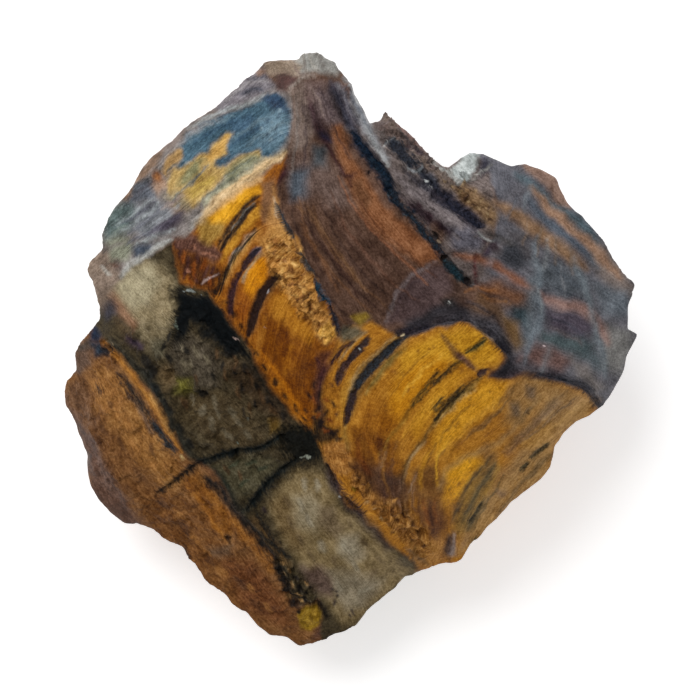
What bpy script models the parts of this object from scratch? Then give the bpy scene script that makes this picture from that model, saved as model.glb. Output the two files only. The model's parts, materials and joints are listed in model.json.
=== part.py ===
"""Rough tiger's eye: one broken chunk of banded stone, lying on its flattest side.

The upper side is a set of fracture slopes that meet along crests, grooves and small steps.
The underside is a set of oblique breaks round a flat base. Lengths are in millimetres until
the last step, which turns the finished mesh into metres.
"""

import math
import random

import bmesh
import bpy
from mathutils import Vector, noise
from mathutils.bvhtree import BVHTree
from mathutils.geometry import delaunay_2d_cdt
from mathutils.kdtree import KDTree

METRES_PER_MM = 0.001

# Driving dimensions, in millimetres.
STONE_WIDTH = 63.5  # along X, from the left rim to the nub on the right
STONE_HEIGHT = 35.5  # from the flat base to the main crest

TOP_GRAIN = 1.27  # length of a triangle's edge on the upper side
WALL_GRAIN = 1.7  # height of one row of the wall under the rim
BREAK_GRAIN = 2.3  # length of a triangle's edge on the breaks underneath
CREST_GAP = 0.6  # free space kept round a crest, as a share of TOP_GRAIN
WALL_BATTER = 9.0  # lean of the wall under the rim, in degrees from upright
WALL_CALM = 0.35  # how much each wall row evens out the one above it
SLOPE_SMOOTHING = 10  # smoothing passes over the slopes between the crests
SHORTEST_EDGE = 0.35  # corners of a break closer than this are joined
FLAT_BASE = 0.02  # height under which a point belongs to the flat base

UPPER_WAVES = [(6.0, 0.20), (2.4, 0.04)]  # lengths and heights of the waves on the upper side
LOWER_WAVES = [(9.0, 1.60), (4.0, 0.70), (1.9, 0.25)]  # the same on the walls and the breaks
FLAT_REACH = 4.0  # the lower waves fade in over this height above the ground
HOLLOW_REACH = 5.0  # a break reaches its full bulge or hollow this far from its edge
SEED = 11
UPPER_POINT = 1  # marks of the points of the upper side and of its rim
RIM_POINT = 2
BASE_FACE = 99  # mark of the flat base; the breaks are marked 1, 2, 3 and so on

STONE_COLOUR = (0.22, 0.11, 0.035, 1.0)
STONE_ROUGHNESS = 0.55

# Breaks on the underside: heading of the outward side in degrees from +X, distance of the
# break's lower edge from the centre, how far it leans out from upright, in degrees, and how
# far its middle bulges out.
BREAKS = [
    (225, 24.4, 44, 0.7),
    (203, 27.0, 32, -0.4),
    (180, 22.5, 40, -0.8),
    (158, 27.5, 12, 0.5),
    (146, 21.0, 38, 0.9),
    (121, 22.5, 20, -0.7),
    (92, 24.5, 19, 0.5),
    (60, 16.5, 30, -1.0),
    (36, 17.0, 37, 0.8),
    (12, 24.0, 28, 0.3),
    (-10, 17.5, 46, -1.0),
    (-47, 16.0, 30, 0.8),
    (-60, 17.5, 46, -0.7),
    (-98, 25.0, 50, 0.4),
    (-128, 26.0, 34, -0.5),
]

# The rim: the outline seen from above, clockwise from the left of the peak.
RIM = [
    (-11.1, 30.7, 25.5), (-9.6, 32.0, 27.0), (-7.8, 32.2, 28.0), (-5.9, 32.2, 28.6),
    (-5.2, 32.8, 28.5), (-3.7, 32.9, 29.0), (-1.6, 32.0, 29.0), (-0.7, 30.6, 29.0),
    (0.4, 28.7, 28.8), (1.6, 26.3, 28.4), (2.2, 25.1, 28.0), (3.3, 25.4, 27.0),
    (3.9, 26.3, 26.5), (5.3, 25.1, 26.0), (6.6, 24.0, 26.0), (7.8, 22.6, 26.0),
    (9.0, 21.3, 26.0), (10.3, 20.3, 25.5), (10.9, 20.2, 25.0), (12.2, 21.1, 24.0),
    (13.4, 21.9, 23.5), (14.8, 21.8, 23.5), (16.1, 21.2, 23.5), (17.9, 20.3, 23.0),
    (19.4, 20.6, 22.5), (21.1, 20.0, 22.0), (22.8, 19.1, 21.5), (23.3, 17.8, 21.0),
    (24.1, 16.3, 20.8), (25.0, 15.4, 20.5), (25.9, 14.8, 20.0), (27.3, 13.1, 19.5),
    (28.1, 12.1, 19.0), (29.3, 10.2, 18.5), (30.4, 8.8, 18.0), (31.6, 7.3, 17.5),
    (31.4, 5.9, 17.0), (31.0, 4.9, 16.8), (30.9, 3.6, 16.5), (30.8, 2.3, 16.2),
    (31.8, 1.7, 15.8), (31.4, 0.6, 15.5), (30.7, -1.0, 15.5), (30.1, -2.9, 15.5),
    (29.3, -4.7, 15.3), (28.3, -6.2, 16.5), (26.8, -7.3, 17.4), (25.2, -8.0, 18.0),
    (23.9, -9.1, 18.2), (22.7, -10.8, 18.0), (22.3, -13.0, 17.6), (21.0, -14.6, 17.2),
    (19.3, -15.9, 16.9), (17.8, -17.1, 16.4), (16.7, -18.4, 15.8), (15.4, -20.2, 15.0),
    (14.3, -21.8, 14.0), (12.8, -22.7, 13.5), (11.1, -23.7, 13.0), (9.6, -24.4, 12.6),
    (7.7, -24.8, 12.4), (5.9, -25.4, 12.2), (5.1, -26.6, 12.0), (3.4, -28.1, 11.6),
    (1.8, -29.4, 11.2), (0.3, -30.8, 10.8), (-0.8, -31.8, 10.4), (-2.4, -32.3, 10.2),
    (-4.2, -32.8, 10.0), (-5.6, -33.0, 10.0), (-7.0, -32.1, 10.4), (-8.7, -31.9, 10.8),
    (-10.3, -30.8, 11.5), (-11.7, -29.3, 12.0), (-13.2, -28.2, 12.4), (-14.4, -26.7, 12.7),
    (-16.0, -25.6, 12.9), (-17.3, -23.9, 13.0), (-18.2, -23.2, 13.0), (-18.6, -22.0, 13.0),
    (-20.2, -21.2, 12.8), (-22.0, -20.1, 12.4), (-23.7, -19.4, 12.0), (-25.1, -19.2, 11.6),
    (-26.7, -18.0, 11.2), (-27.9, -16.7, 11.0), (-28.7, -15.2, 10.8), (-29.1, -13.3, 10.7),
    (-29.2, -11.6, 10.7), (-30.0, -9.8, 10.9), (-30.8, -7.9, 11.2), (-31.7, -6.3, 11.6),
    (-31.8, -4.7, 12.0), (-31.6, -3.4, 12.5), (-30.6, -2.3, 13.0), (-30.6, -0.6, 13.5),
    (-30.0, 1.0, 14.0), (-29.0, 2.2, 14.5), (-28.0, 3.4, 15.0), (-28.0, 4.9, 15.3),
    (-28.6, 6.9, 15.5), (-28.9, 8.8, 15.6), (-28.7, 10.0, 15.9), (-27.6, 11.3, 16.6),
    (-27.7, 12.9, 17.0), (-27.0, 14.4, 17.4), (-26.2, 15.7, 17.9), (-25.1, 17.0, 18.5),
    (-24.2, 18.2, 19.0), (-23.3, 20.0, 19.5), (-22.0, 21.4, 20.0), (-20.6, 22.9, 20.6),
    (-18.9, 24.3, 21.2), (-17.2, 25.7, 21.8), (-15.6, 26.8, 22.5), (-13.7, 28.4, 23.5),
    (-12.2, 29.7, 24.5),
]

# crest between the left slope and the front slopes
LEFT_CREST = [
    (-28.0, 4.9, 15.3), (-26.2, 7.4, 19.0), (-24.1, 9.3, 22.5), (-22.0, 10.9, 25.0),
    (-19.8, 12.1, 27.0), (-18.0, 12.8, 28.5), (-16.1, 14.9, 30.0), (-13.2, 17.2, 31.5),
    (-10.0, 19.2, 33.0), (-7.1, 21.8, 34.0),
]
# rounded top edge of the long brown column
COLUMN_EDGE = [
    (-7.1, 21.8, 34.0), (-6.7, 23.2, 34.2), (-6.1, 25.8, 34.0), (-6.4, 28.2, 33.6),
    (-5.9, 30.0, 32.8), (-4.7, 30.1, 32.6), (-3.3, 30.2, 32.4), (-2.4, 29.9, 32.1),
    (-1.6, 28.9, 31.4),
]
# highest edge, where the brown column stands over the gold seam
MAIN_CREST = [
    (-7.1, 21.8, 34.0), (-8.3, 18.1, 34.6), (-8.1, 15.9, 34.9), (-7.4, 14.0, 35.2),
    (-5.9, 12.7, 35.4), (-5.4, 10.7, 35.5), (-4.0, 8.6, 35.2), (-3.9, 6.6, 34.8),
    (-2.2, 5.0, 34.0), (-1.8, 3.1, 33.0), (-1.1, 1.6, 31.8),
]
# upper edge of the silky gold slope, under its crumbly break
GOLD_BROW = [
    (-10.0, 19.2, 33.0), (-10.2, 15.0, 32.3), (-9.6, 12.2, 32.1), (-8.7, 9.3, 31.8),
    (-6.7, 5.6, 31.5), (-4.9, 2.7, 31.2), (-3.1, 0.9, 30.6),
]
# lower edge of the gold slope, where the quartz starts
GOLD_FOOT = [
    (-19.8, 12.1, 27.0), (-19.1, 9.8, 26.6), (-17.8, 7.1, 26.6), (-15.8, 6.7, 27.2),
    (-14.2, 4.4, 27.3), (-11.8, 0.2, 27.0), (-9.3, -3.2, 26.4), (-6.3, -6.9, 25.4),
    (-3.8, -9.1, 24.6),
]
# trough between the gold slope and the curled gold lobes
VALLEY = [
    (-1.1, 1.6, 31.8), (-2.4, -1.1, 29.5), (-3.3, -3.9, 27.8), (-3.6, -6.7, 26.2),
    (-3.8, -9.1, 24.6), (-2.8, -11.3, 23.8), (-1.7, -13.3, 23.0), (0.0, -15.6, 22.0),
    (2.0, -18.0, 20.5), (3.9, -20.6, 18.5), (5.8, -22.9, 15.8), (7.7, -24.8, 12.4),
]
# edge of the quartz above the brown ledge
LEDGE = [
    (-28.0, 3.4, 15.0), (-27.0, 1.7, 17.0), (-25.6, -0.6, 18.8), (-23.9, -2.8, 20.0),
    (-22.2, -4.4, 20.6), (-21.1, -6.7, 20.8), (-18.9, -10.6, 20.6), (-17.8, -12.2, 20.4),
    (-15.0, -13.3, 20.3), (-13.9, -15.6, 19.6), (-12.8, -17.8, 18.9), (-11.1, -19.4, 18.1),
    (-8.9, -22.2, 17.0), (-7.2, -25.6, 15.2), (-5.6, -28.3, 13.4), (-3.3, -30.6, 11.6),
    (-2.4, -32.3, 10.2),
]
# foot of that small step, on the brown ledge
LEDGE_FOOT = [
    (-29.0, 2.2, 14.5), (-27.7, 0.2, 16.2), (-26.2, -1.8, 17.8), (-24.7, -3.9, 18.8),
    (-23.1, -5.7, 19.4), (-22.0, -7.8, 19.6), (-19.8, -11.6, 19.4), (-18.2, -13.6, 19.2),
    (-15.8, -14.7, 19.0), (-14.7, -16.7, 18.3), (-13.6, -18.8, 17.6), (-12.0, -20.4, 16.9),
    (-10.0, -23.0, 15.8), (-8.2, -26.3, 14.0), (-6.7, -29.1, 12.4), (-5.6, -33.0, 10.0),
]
# fold where the brown ledge turns down to the left rim
RIM_FOLD = [
    (-30.8, -7.9, 11.2), (-28.9, -8.9, 14.2), (-27.4, -11.7, 15.0), (-26.3, -14.4, 15.2),
    (-23.9, -17.0, 14.8), (-22.0, -20.1, 12.4),
]
# dark groove along the right side of the brown column
GROOVE = [
    (-1.6, 28.9, 31.4), (-0.9, 25.6, 30.8), (0.3, 23.7, 30.6), (1.6, 22.0, 30.4),
    (3.0, 20.4, 30.2), (3.8, 18.6, 30.0), (6.2, 15.8, 29.6), (8.8, 12.7, 29.0),
    (10.3, 10.2, 28.4), (12.2, 8.2, 27.7), (13.8, 7.1, 27.2),
]
# pale lip of the first slab beyond the groove
FIRST_STEP = [
    (-0.1, 29.1, 30.2), (1.1, 26.3, 30.7), (2.2, 23.7, 31.0), (3.0, 22.1, 31.1),
    (4.2, 20.4, 31.0), (5.3, 19.1, 30.9), (7.6, 16.7, 30.6), (9.8, 14.9, 30.3),
    (12.2, 12.7, 29.7), (14.2, 10.7, 29.0), (15.6, 8.2, 28.0),
]
# dark groove between the first slab and the outer one
SECOND_GROOVE = [
    (3.9, 23.3, 29.2), (5.3, 22.4, 29.2), (6.7, 21.1, 29.2), (8.3, 19.4, 29.1),
    (10.1, 17.4, 28.9), (12.0, 15.8, 28.7), (14.4, 14.1, 28.2),
]
# lip of the outer slab
OUTER_STEP = [
    (3.9, 24.7, 27.8), (5.8, 23.3, 28.2), (7.8, 21.6, 28.4), (9.3, 20.0, 28.6),
    (11.1, 18.2, 28.6), (13.3, 16.7, 28.4), (15.8, 15.8, 27.8),
]
# upper edge of the gold lobes
LOBE_BROW = [
    (-1.1, 1.6, 31.8), (2.4, 1.3, 31.0), (5.7, 1.4, 30.4), (8.9, 2.6, 29.8),
    (11.7, 3.1, 29.2), (13.8, 2.7, 28.6), (16.0, 0.9, 27.6), (17.1, -0.9, 27.0),
    (15.6, -2.9, 26.8), (18.0, -3.2, 26.0), (20.6, -2.7, 25.0), (24.2, -3.7, 22.6),
    (26.4, -4.9, 19.6), (28.3, -6.2, 16.5),
]
# trough above the gold lobes
LOBE_FOOT = [
    (0.2, 2.7, 31.9), (2.9, 2.7, 30.6), (5.8, 2.9, 29.6), (8.7, 3.9, 29.0),
    (11.8, 4.3, 28.5), (14.2, 3.8, 27.7), (16.7, 2.0, 26.9), (18.2, -0.2, 26.0),
    (20.0, -1.4, 25.2), (22.0, -1.8, 24.0), (24.7, -2.6, 21.8), (27.3, -4.0, 19.0),
    (29.3, -4.7, 15.3),
]
# edge between the left slope and the strip along the rim
LEFT_RIM_EDGE = [
    (-25.1, 17.0, 18.5), (-22.2, 19.8, 21.6), (-18.9, 23.1, 23.6), (-17.2, 24.3, 24.2),
    (-15.0, 25.7, 25.0), (-12.2, 26.8, 26.6), (-9.4, 28.0, 28.8), (-7.7, 29.1, 30.6),
    (-5.9, 30.0, 32.8),
]
# small notch beside the white quartz wedge
QUARTZ_NOTCH = [
    (10.9, 20.2, 25.0), (12.0, 18.6, 27.0), (13.3, 16.7, 28.4),
]
# top edge of the slate-blue face
SLATE_EDGE = [
    (13.4, 21.9, 23.5), (15.0, 19.8, 26.0), (16.3, 17.6, 27.4), (15.8, 15.8, 27.8),
]

CRESTS = [
    LEFT_CREST,
    COLUMN_EDGE,
    MAIN_CREST,
    GOLD_BROW,
    GOLD_FOOT,
    VALLEY,
    LEDGE,
    LEDGE_FOOT,
    RIM_FOLD,
    GROOVE,
    FIRST_STEP,
    SECOND_GROOVE,
    OUTER_STEP,
    LOBE_BROW,
    LOBE_FOOT,
    LEFT_RIM_EDGE,
    QUARTZ_NOTCH,
    SLATE_EDGE,
]

# Heights of single points on the slopes between the edges.
SPOTS = [
    (-7.8, 19.9, 33.4), (-8.9, 23.3, 31.2), (-11.7, 22.2, 29.5), (-15.0, 22.2, 26.8),
    (-16.1, 18.9, 28.0), (-18.9, 18.3, 25.4), (-21.1, 15.0, 24.6), (-23.3, 16.1, 21.8),
    (-24.4, 12.8, 22.0), (-26.1, 12.2, 19.4), (-27.1, 9.8, 18.2), (-27.3, 7.8, 18.0),
    (-5.6, 31.6, 30.4), (-3.3, 31.8, 30.4), (-4.4, 25.6, 33.4), (-3.3, 21.1, 33.2),
    (-3.3, 15.6, 33.6), (-0.6, 17.8, 32.0), (0.6, 13.3, 32.2), (-1.1, 8.9, 33.4),
    (3.3, 11.1, 30.9), (2.2, 6.7, 31.6), (6.7, 8.9, 29.8), (5.6, 4.4, 30.6),
    (10.0, 6.1, 29.2), (0.0, 3.6, 32.6), (0.6, 27.0, 30.2), (2.4, 24.3, 29.6),
    (5.6, 19.8, 30.2), (10.0, 15.9, 29.7), (-12.2, 15.0, 30.6), (-12.8, 11.1, 29.8),
    (-13.9, 8.3, 28.6), (-11.1, 5.6, 29.4), (-8.3, 1.1, 28.6), (-6.7, -3.3, 27.4),
    (-5.0, -6.1, 26.2), (-5.6, 6.7, 33.2), (-22.2, 6.7, 24.2), (-23.3, 3.3, 21.8),
    (-20.0, 2.2, 24.4), (-16.7, 1.1, 25.8), (-18.9, -3.3, 23.0), (-15.6, -5.6, 24.4),
    (-12.2, -7.8, 24.4), (-16.7, -8.9, 22.4), (-8.9, -8.9, 24.2), (-12.2, -13.3, 21.8),
    (-6.7, -13.3, 22.2), (-10.0, -16.1, 19.8), (-5.6, -18.9, 19.6), (-1.1, -21.1, 17.4),
    (-3.3, -25.6, 15.2), (1.1, -26.7, 13.6), (-0.6, -29.4, 11.8), (3.9, -25.0, 14.4),
    (-26.7, -5.6, 16.8), (-25.0, -8.9, 17.4), (-22.2, -13.3, 17.6), (-18.9, -17.8, 16.6),
    (-14.4, -22.8, 15.0), (-10.6, -27.8, 13.0), (-21.1, -16.7, 15.8), (-27.8, -14.4, 12.4),
    (-25.6, -17.2, 12.6), (-28.3, -5.6, 15.6), (-29.8, -3.3, 14.4), (0.0, -2.2, 29.6),
    (0.2, -6.7, 27.4), (3.9, -3.3, 30.0), (4.4, -8.9, 28.0), (8.9, -1.1, 29.6),
    (10.0, -5.6, 28.4), (13.3, 0.0, 28.6), (14.4, -5.6, 26.8), (8.9, -11.1, 26.0),
    (13.3, -10.0, 25.2), (5.6, -14.4, 24.6), (10.0, -16.7, 22.4), (7.8, -20.0, 18.4),
    (12.2, -19.4, 18.0), (16.7, -13.3, 21.6), (18.9, -10.0, 21.8), (15.6, -16.7, 18.6),
    (20.0, -5.6, 24.0), (23.3, -6.7, 21.2), (0.0, -11.7, 24.0), (2.2, -14.4, 22.8),
    (16.7, 3.3, 27.6), (20.0, 1.1, 25.6), (18.9, 6.7, 26.8), (22.2, 5.6, 24.6),
    (23.3, 11.1, 24.0), (21.1, 14.4, 25.0), (18.9, 17.8, 25.6), (25.0, 0.0, 20.6),
    (27.8, 5.6, 20.2), (27.8, 0.0, 18.2), (26.1, 13.3, 21.2), (22.2, 17.2, 23.4),
    (29.4, 6.7, 18.8), (14.4, 20.0, 25.0), (12.6, 20.6, 24.6), (16.7, 13.3, 27.4),
    (13.3, 5.6, 28.4), (17.8, 11.1, 27.2), (26.7, -3.3, 18.0), (29.4, -2.2, 16.2),
]

def clear_scene():
    """Removes whatever the file holds, so that the stone stands alone."""
    for item in list(bpy.data.objects):
        bpy.data.objects.remove(item, do_unlink=True)


def plan(point):
    """The point seen from above."""
    return Vector((point[0], point[1]))


def spread(points, grain, closed=False):
    """Adds evenly spaced points along a line of 3-D points, no further apart than the grain."""
    corners = [Vector(point) for point in points]
    if closed:
        corners.append(corners[0])
    line = [corners[0]]
    for start, end in zip(corners, corners[1:]):
        count = max(1, math.ceil((plan(end) - plan(start)).length / grain))
        line.extend(start.lerp(end, step / count) for step in range(1, count + 1))
    if closed:
        line.pop()
    return line


def inside(point, outline):
    """True if a 2-D point lies inside a closed 2-D outline."""
    found = False
    previous = outline[-1]
    for corner in outline:
        if (corner.y > point.y) != (previous.y > point.y):
            share = (point.y - previous.y) / (corner.y - previous.y)
            if point.x < previous.x + share * (corner.x - previous.x):
                found = not found
        previous = corner
    return found


def scatter(outline, taken, grain, gap, dice):
    """Points on a shaken triangular grid inside an outline, clear of the points already taken."""
    tree = KDTree(len(taken))
    for number, point in enumerate(taken):
        tree.insert((point.x, point.y, 0.0), number)
    tree.balance()
    low = Vector((min(p.x for p in outline), min(p.y for p in outline)))
    high = Vector((max(p.x for p in outline), max(p.y for p in outline)))
    row_height = grain * math.sqrt(3.0) / 2.0
    points = []
    for row in range(1 + int((high.y - low.y) / row_height)):
        for column in range(1 + int((high.x - low.x) / grain)):
            shake = Vector((dice.uniform(-0.18, 0.18), dice.uniform(-0.18, 0.18))) * grain
            place = Vector((column + 0.5 * (row % 2), row * row_height / grain)) * grain
            point = low + place + shake
            if not inside(point, outline):
                continue
            if tree.find((point.x, point.y, 0.0))[2] > gap:
                points.append(point)
    return points


def link_line(line, points, edges):
    """Adds a line of 3-D points, and the edges that tie it together, to a triangulation."""
    first = len(points)
    points.extend(line)
    edges.extend((first + step, first + step + 1) for step in range(len(line) - 1))


def rough_relief():
    """The slopes as large flat triangles between the rim, the crests and the single points."""
    rim = [Vector(point) for point in RIM]
    points = list(rim)
    edges = [(step, (step + 1) % len(rim)) for step in range(len(rim))]
    for crest in CRESTS:
        link_line([Vector(point) for point in crest], points, edges)
    points.extend(Vector(point) for point in SPOTS)
    corners, _, faces, sources, _, _ = delaunay_2d_cdt(
        [plan(point) for point in points], edges, [], 1, 1e-4
    )
    solid = []
    for corner, source in zip(corners, sources):
        height = points[source[0]].z if source else 0.0
        solid.append(Vector((corner.x, corner.y, height)))
    mend_crossings(solid, sources, faces)
    return BVHTree.FromPolygons(solid, faces)


def mend_crossings(solid, sources, faces):
    """Gives points made where two crests cross the mean height of their neighbours."""
    for number, source in enumerate(sources):
        if source:
            continue
        near = {corner for face in faces if number in face for corner in face}
        heights = [solid[corner].z for corner in near if sources[corner]]
        solid[number].z = sum(heights) / len(heights)


def relief_height(relief, point):
    """Height of the rough relief above a plan point."""
    hit = relief.ray_cast(Vector((point.x, point.y, 100.0)), Vector((0.0, 0.0, -1.0)))[0]
    if hit is None:
        hit = relief.find_nearest(Vector((point.x, point.y, 15.0)))[0]
    return hit.z


def fine_relief(dice):
    """The upper side as fine triangles: its points, its faces and which points are fixed."""
    relief = rough_relief()
    rim = spread(RIM, TOP_GRAIN, closed=True)
    points = list(rim)
    edges = [(step, (step + 1) % len(rim)) for step in range(len(rim))]
    for crest in CRESTS:
        link_line(spread(crest, TOP_GRAIN), points, edges)
    fixed_count = len(points)
    outline = [plan(point) for point in rim]
    taken = [plan(point) for point in points]
    for place in scatter(outline, taken, TOP_GRAIN, TOP_GRAIN * CREST_GAP, dice):
        points.append(Vector((place.x, place.y, relief_height(relief, place))))
    corners, _, faces, sources, _, _ = delaunay_2d_cdt(
        [plan(point) for point in points], edges, [], 1, 1e-3
    )
    solid = []
    fixed = []
    for corner, source in zip(corners, sources):
        height = points[source[0]].z if source else relief_height(relief, corner)
        solid.append(Vector((corner.x, corner.y, height)))
        fixed.append(not source or min(source) < fixed_count)
    return solid, [list(face) for face in faces], fixed


def smooth_slopes(points, faces, fixed):
    """Evens out the slopes and leaves the rim and the crests where they are."""
    near = [set() for _ in points]
    for face in faces:
        for corner in face:
            near[corner].update(face)
    for _ in range(SLOPE_SMOOTHING):
        heights = [
            sum(points[other].z for other in ring) / len(ring) if ring else points[number].z
            for number, ring in enumerate(near)
        ]
        for number, height in enumerate(heights):
            if not fixed[number]:
                points[number].z = height


def outline_loop(faces):
    """The open border of a set of faces, as a loop of point numbers in order."""
    follow = {}
    for face in faces:
        for start, end in zip(face, face[1:] + face[:1]):
            follow[(start, end)] = True
    border = {start: end for start, end in follow if (end, start) not in follow}
    first = next(iter(border))
    loop = [first]
    while border[loop[-1]] != first:
        loop.append(border[loop[-1]])
    return loop


def wall_rows(rim):
    """Rows of points under the rim, each one lower, further in and calmer than the last."""
    rows = []
    row = [point.copy() for point in rim]
    count = math.ceil(max(point.z for point in rim) / WALL_GRAIN)
    inset = math.tan(math.radians(WALL_BATTER))
    for step in range(1, count + 1):
        share = step / count
        calmer = []
        for number, point in enumerate(row):
            before = row[number - 1]
            after = row[(number + 1) % len(row)]
            middle = (before + after) / 2.0
            along = (after - before).normalized()
            outward = Vector((-along.y, along.x, 0.0)).normalized()
            drop = rim[number].z / count
            place = point.lerp(middle, WALL_CALM) - outward * inset * drop
            place.z = rim[number].z * (1.0 - share)
            calmer.append(place)
        rows.append(calmer)
        row = calmer
    return rows


def add_walls(bm, loop):
    """Closes the upper side with walls down to the ground and one flat floor."""
    rows = wall_rows([vert.co.copy() for vert in loop])
    above = loop
    for row in rows:
        below = [bm.verts.new(point) for point in row]
        for number, vert in enumerate(above):
            after = (number + 1) % len(above)
            bm.faces.new((vert, above[after], below[after], below[number]))
        above = below
    bm.faces.new(above).material_index = BASE_FACE


def closed_loops(edges):
    """Chains loose edges into closed loops of points."""
    links = {}
    for edge in edges:
        for vert in edge.verts:
            links.setdefault(vert, []).append(edge.other_vert(vert))
    loops = []
    used = set()
    for start in links:
        if start in used:
            continue
        loop = []
        ahead = [start]
        while ahead:
            used.add(ahead[0])
            loop.append(ahead[0])
            ahead = [vert for vert in links[loop[-1]] if vert not in used]
        loops.append(loop)
    return loops


def break_off(bm, heading, reach, lean, number):
    """Breaks off what lies beyond one oblique plane and closes the stone with a flat face."""
    side = math.radians(heading)
    tilt = math.radians(lean)
    out = Vector((math.cos(side), math.sin(side), 0.0))
    normal = out * math.cos(tilt) - Vector((0.0, 0.0, math.sin(tilt)))
    parts = bm.verts[:] + bm.edges[:] + bm.faces[:]
    cut = bmesh.ops.bisect_plane(
        bm, geom=parts, dist=1e-4, plane_co=out * reach, plane_no=normal, clear_outer=True
    )
    border = [part for part in cut["geom_cut"] if isinstance(part, bmesh.types.BMVert)]
    bmesh.ops.remove_doubles(bm, verts=border, dist=SHORTEST_EDGE)
    open_edges = [edge for edge in bm.edges if edge.is_boundary]
    for loop in closed_loops(open_edges):
        if len(loop) > 2:
            bm.faces.new(loop).material_index = number
    bmesh.ops.recalc_face_normals(bm, faces=bm.faces[:])


def fill_break(bm, face, bulge, dice):
    """Replaces one large flat face with fine triangles that bulge or sink in the middle."""
    border = list(face.verts)
    normal = face.normal.copy()
    across = normal.orthogonal().normalized()
    along = normal.cross(across)
    middle = face.calc_center_median()
    flat = [Vector(((v.co - middle).dot(across), (v.co - middle).dot(along))) for v in border]
    inner = scatter(flat, flat, BREAK_GRAIN, BREAK_GRAIN * CREST_GAP, dice)
    corners, _, faces, sources, _, _ = delaunay_2d_cdt(
        flat + inner, [], [list(range(len(flat)))], 1, 1e-5
    )
    verts = []
    for corner, source in zip(corners, sources):
        if source and min(source) < len(border):
            verts.append(border[min(source)])
            continue
        edge_gap = min((corner - place).length for place in flat)
        lift = bulge * math.sin(math.pi / 2.0 * min(1.0, edge_gap / HOLLOW_REACH))
        place = middle + across * corner.x + along * corner.y
        verts.append(bm.verts.new(place + normal * lift))
    bm.faces.remove(face)
    for triangle in faces:
        bm.faces.new([verts[corner] for corner in triangle])


def waves(place, spectrum):
    """Smooth noise at a point: the sum of a few waves, each with its own length and height."""
    return sum(height * noise.noise(place / length) for length, height in spectrum)


def roughen(bm, kind):
    """Adds the waves of a broken surface, and keeps the rim and the flat base as they are.

    No point of the walls moves out past the rim, so the outline from above stays.
    """
    bm.normal_update()
    outline = [Vector(point[:2]) for point in RIM]
    moves = {}
    for vert in bm.verts:
        if vert[kind] == RIM_POINT or vert.co.z < FLAT_BASE:
            continue
        if vert[kind] == UPPER_POINT:
            moves[vert] = vert.normal * waves(vert.co, UPPER_WAVES)
            continue
        fade = min(1.0, vert.co.z / FLAT_REACH)
        move = vert.normal * waves(vert.co, LOWER_WAVES) * fade
        while move.length > FLAT_BASE and not inside(plan(vert.co + move), outline):
            move *= 0.5
        moves[vert] = move
    for vert, move in moves.items():
        vert.co += move


def fit_to_size(bm):
    """Scales the stone to its driving dimensions, stands it on the ground and centres it."""
    for vert in bm.verts:
        if vert.co.z < FLAT_BASE:
            vert.co.z = 0.0
    low = [min(vert.co[axis] for vert in bm.verts) for axis in range(3)]
    high = [max(vert.co[axis] for vert in bm.verts) for axis in range(3)]
    plan_scale = STONE_WIDTH / (high[0] - low[0])
    height_scale = STONE_HEIGHT / high[2]
    for vert in bm.verts:
        vert.co.x = (vert.co.x - (low[0] + high[0]) / 2.0) * plan_scale
        vert.co.y = (vert.co.y - (low[1] + high[1]) / 2.0) * plan_scale
        vert.co.z *= height_scale
        vert.co *= METRES_PER_MM


def stone_material():
    """A plain brown-gold stone finish."""
    material = bpy.data.materials.new("tigers_eye_stone")
    material.use_nodes = True
    shader = material.node_tree.nodes["Principled BSDF"]
    shader.inputs["Base Color"].default_value = STONE_COLOUR
    shader.inputs["Roughness"].default_value = STONE_ROUGHNESS
    shader.inputs["Metallic"].default_value = 0.0
    material.diffuse_color = STONE_COLOUR
    return material


def add_upper_side(bm, kind, dice):
    """Adds the slopes of the upper side, and gives the points of the rim in order."""
    points, faces, fixed = fine_relief(dice)
    smooth_slopes(points, faces, fixed)
    verts = [bm.verts.new(point) for point in points]
    for face in faces:
        bm.faces.new([verts[corner] for corner in face])
    rim = [verts[number] for number in reversed(outline_loop(faces))]
    for vert in verts:
        vert[kind] = UPPER_POINT
    for vert in rim:
        vert[kind] = RIM_POINT
    return rim


def build_stone():
    """Makes the stone: the upper side first, then its walls, then the breaks underneath."""
    dice = random.Random(SEED)
    bm = bmesh.new()
    kind = bm.verts.layers.int.new("kind")
    add_walls(bm, add_upper_side(bm, kind, dice))
    for number, (heading, reach, lean, _) in enumerate(BREAKS, 1):
        break_off(bm, heading, reach, lean, number)
    for face in [face for face in bm.faces if face.material_index]:
        bulge = 0.0 if face.material_index == BASE_FACE else BREAKS[face.material_index - 1][3]
        fill_break(bm, face, bulge, dice)
    bmesh.ops.triangulate(bm, faces=[face for face in bm.faces if len(face.verts) > 3])
    bmesh.ops.recalc_face_normals(bm, faces=bm.faces[:])
    roughen(bm, kind)
    fit_to_size(bm)
    for face in bm.faces:
        face.material_index = 0
    mesh = bpy.data.meshes.new("tigers_eye")
    bm.to_mesh(mesh)
    bm.free()
    mesh.materials.append(stone_material())
    stone = bpy.data.objects.new("tigers_eye", mesh)
    bpy.context.scene.collection.objects.link(stone)
    return stone


clear_scene()
build_stone()
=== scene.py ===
"""Rough tiger's eye: the finished surface of the stone, its light, its floor and its camera.

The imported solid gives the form. This script refines that mesh, paints the bands and carves
the small relief. Marks on the upper side are drawn as areas and strokes in the 700 x 700
frame of the camera, which looks straight down; the walls and the underside continue the
same layers in millimetres.
"""

import json
import math

import bmesh
import bpy
import numpy as np
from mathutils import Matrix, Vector
from mathutils.bvhtree import BVHTree
from mathutils.kdtree import KDTree

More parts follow.
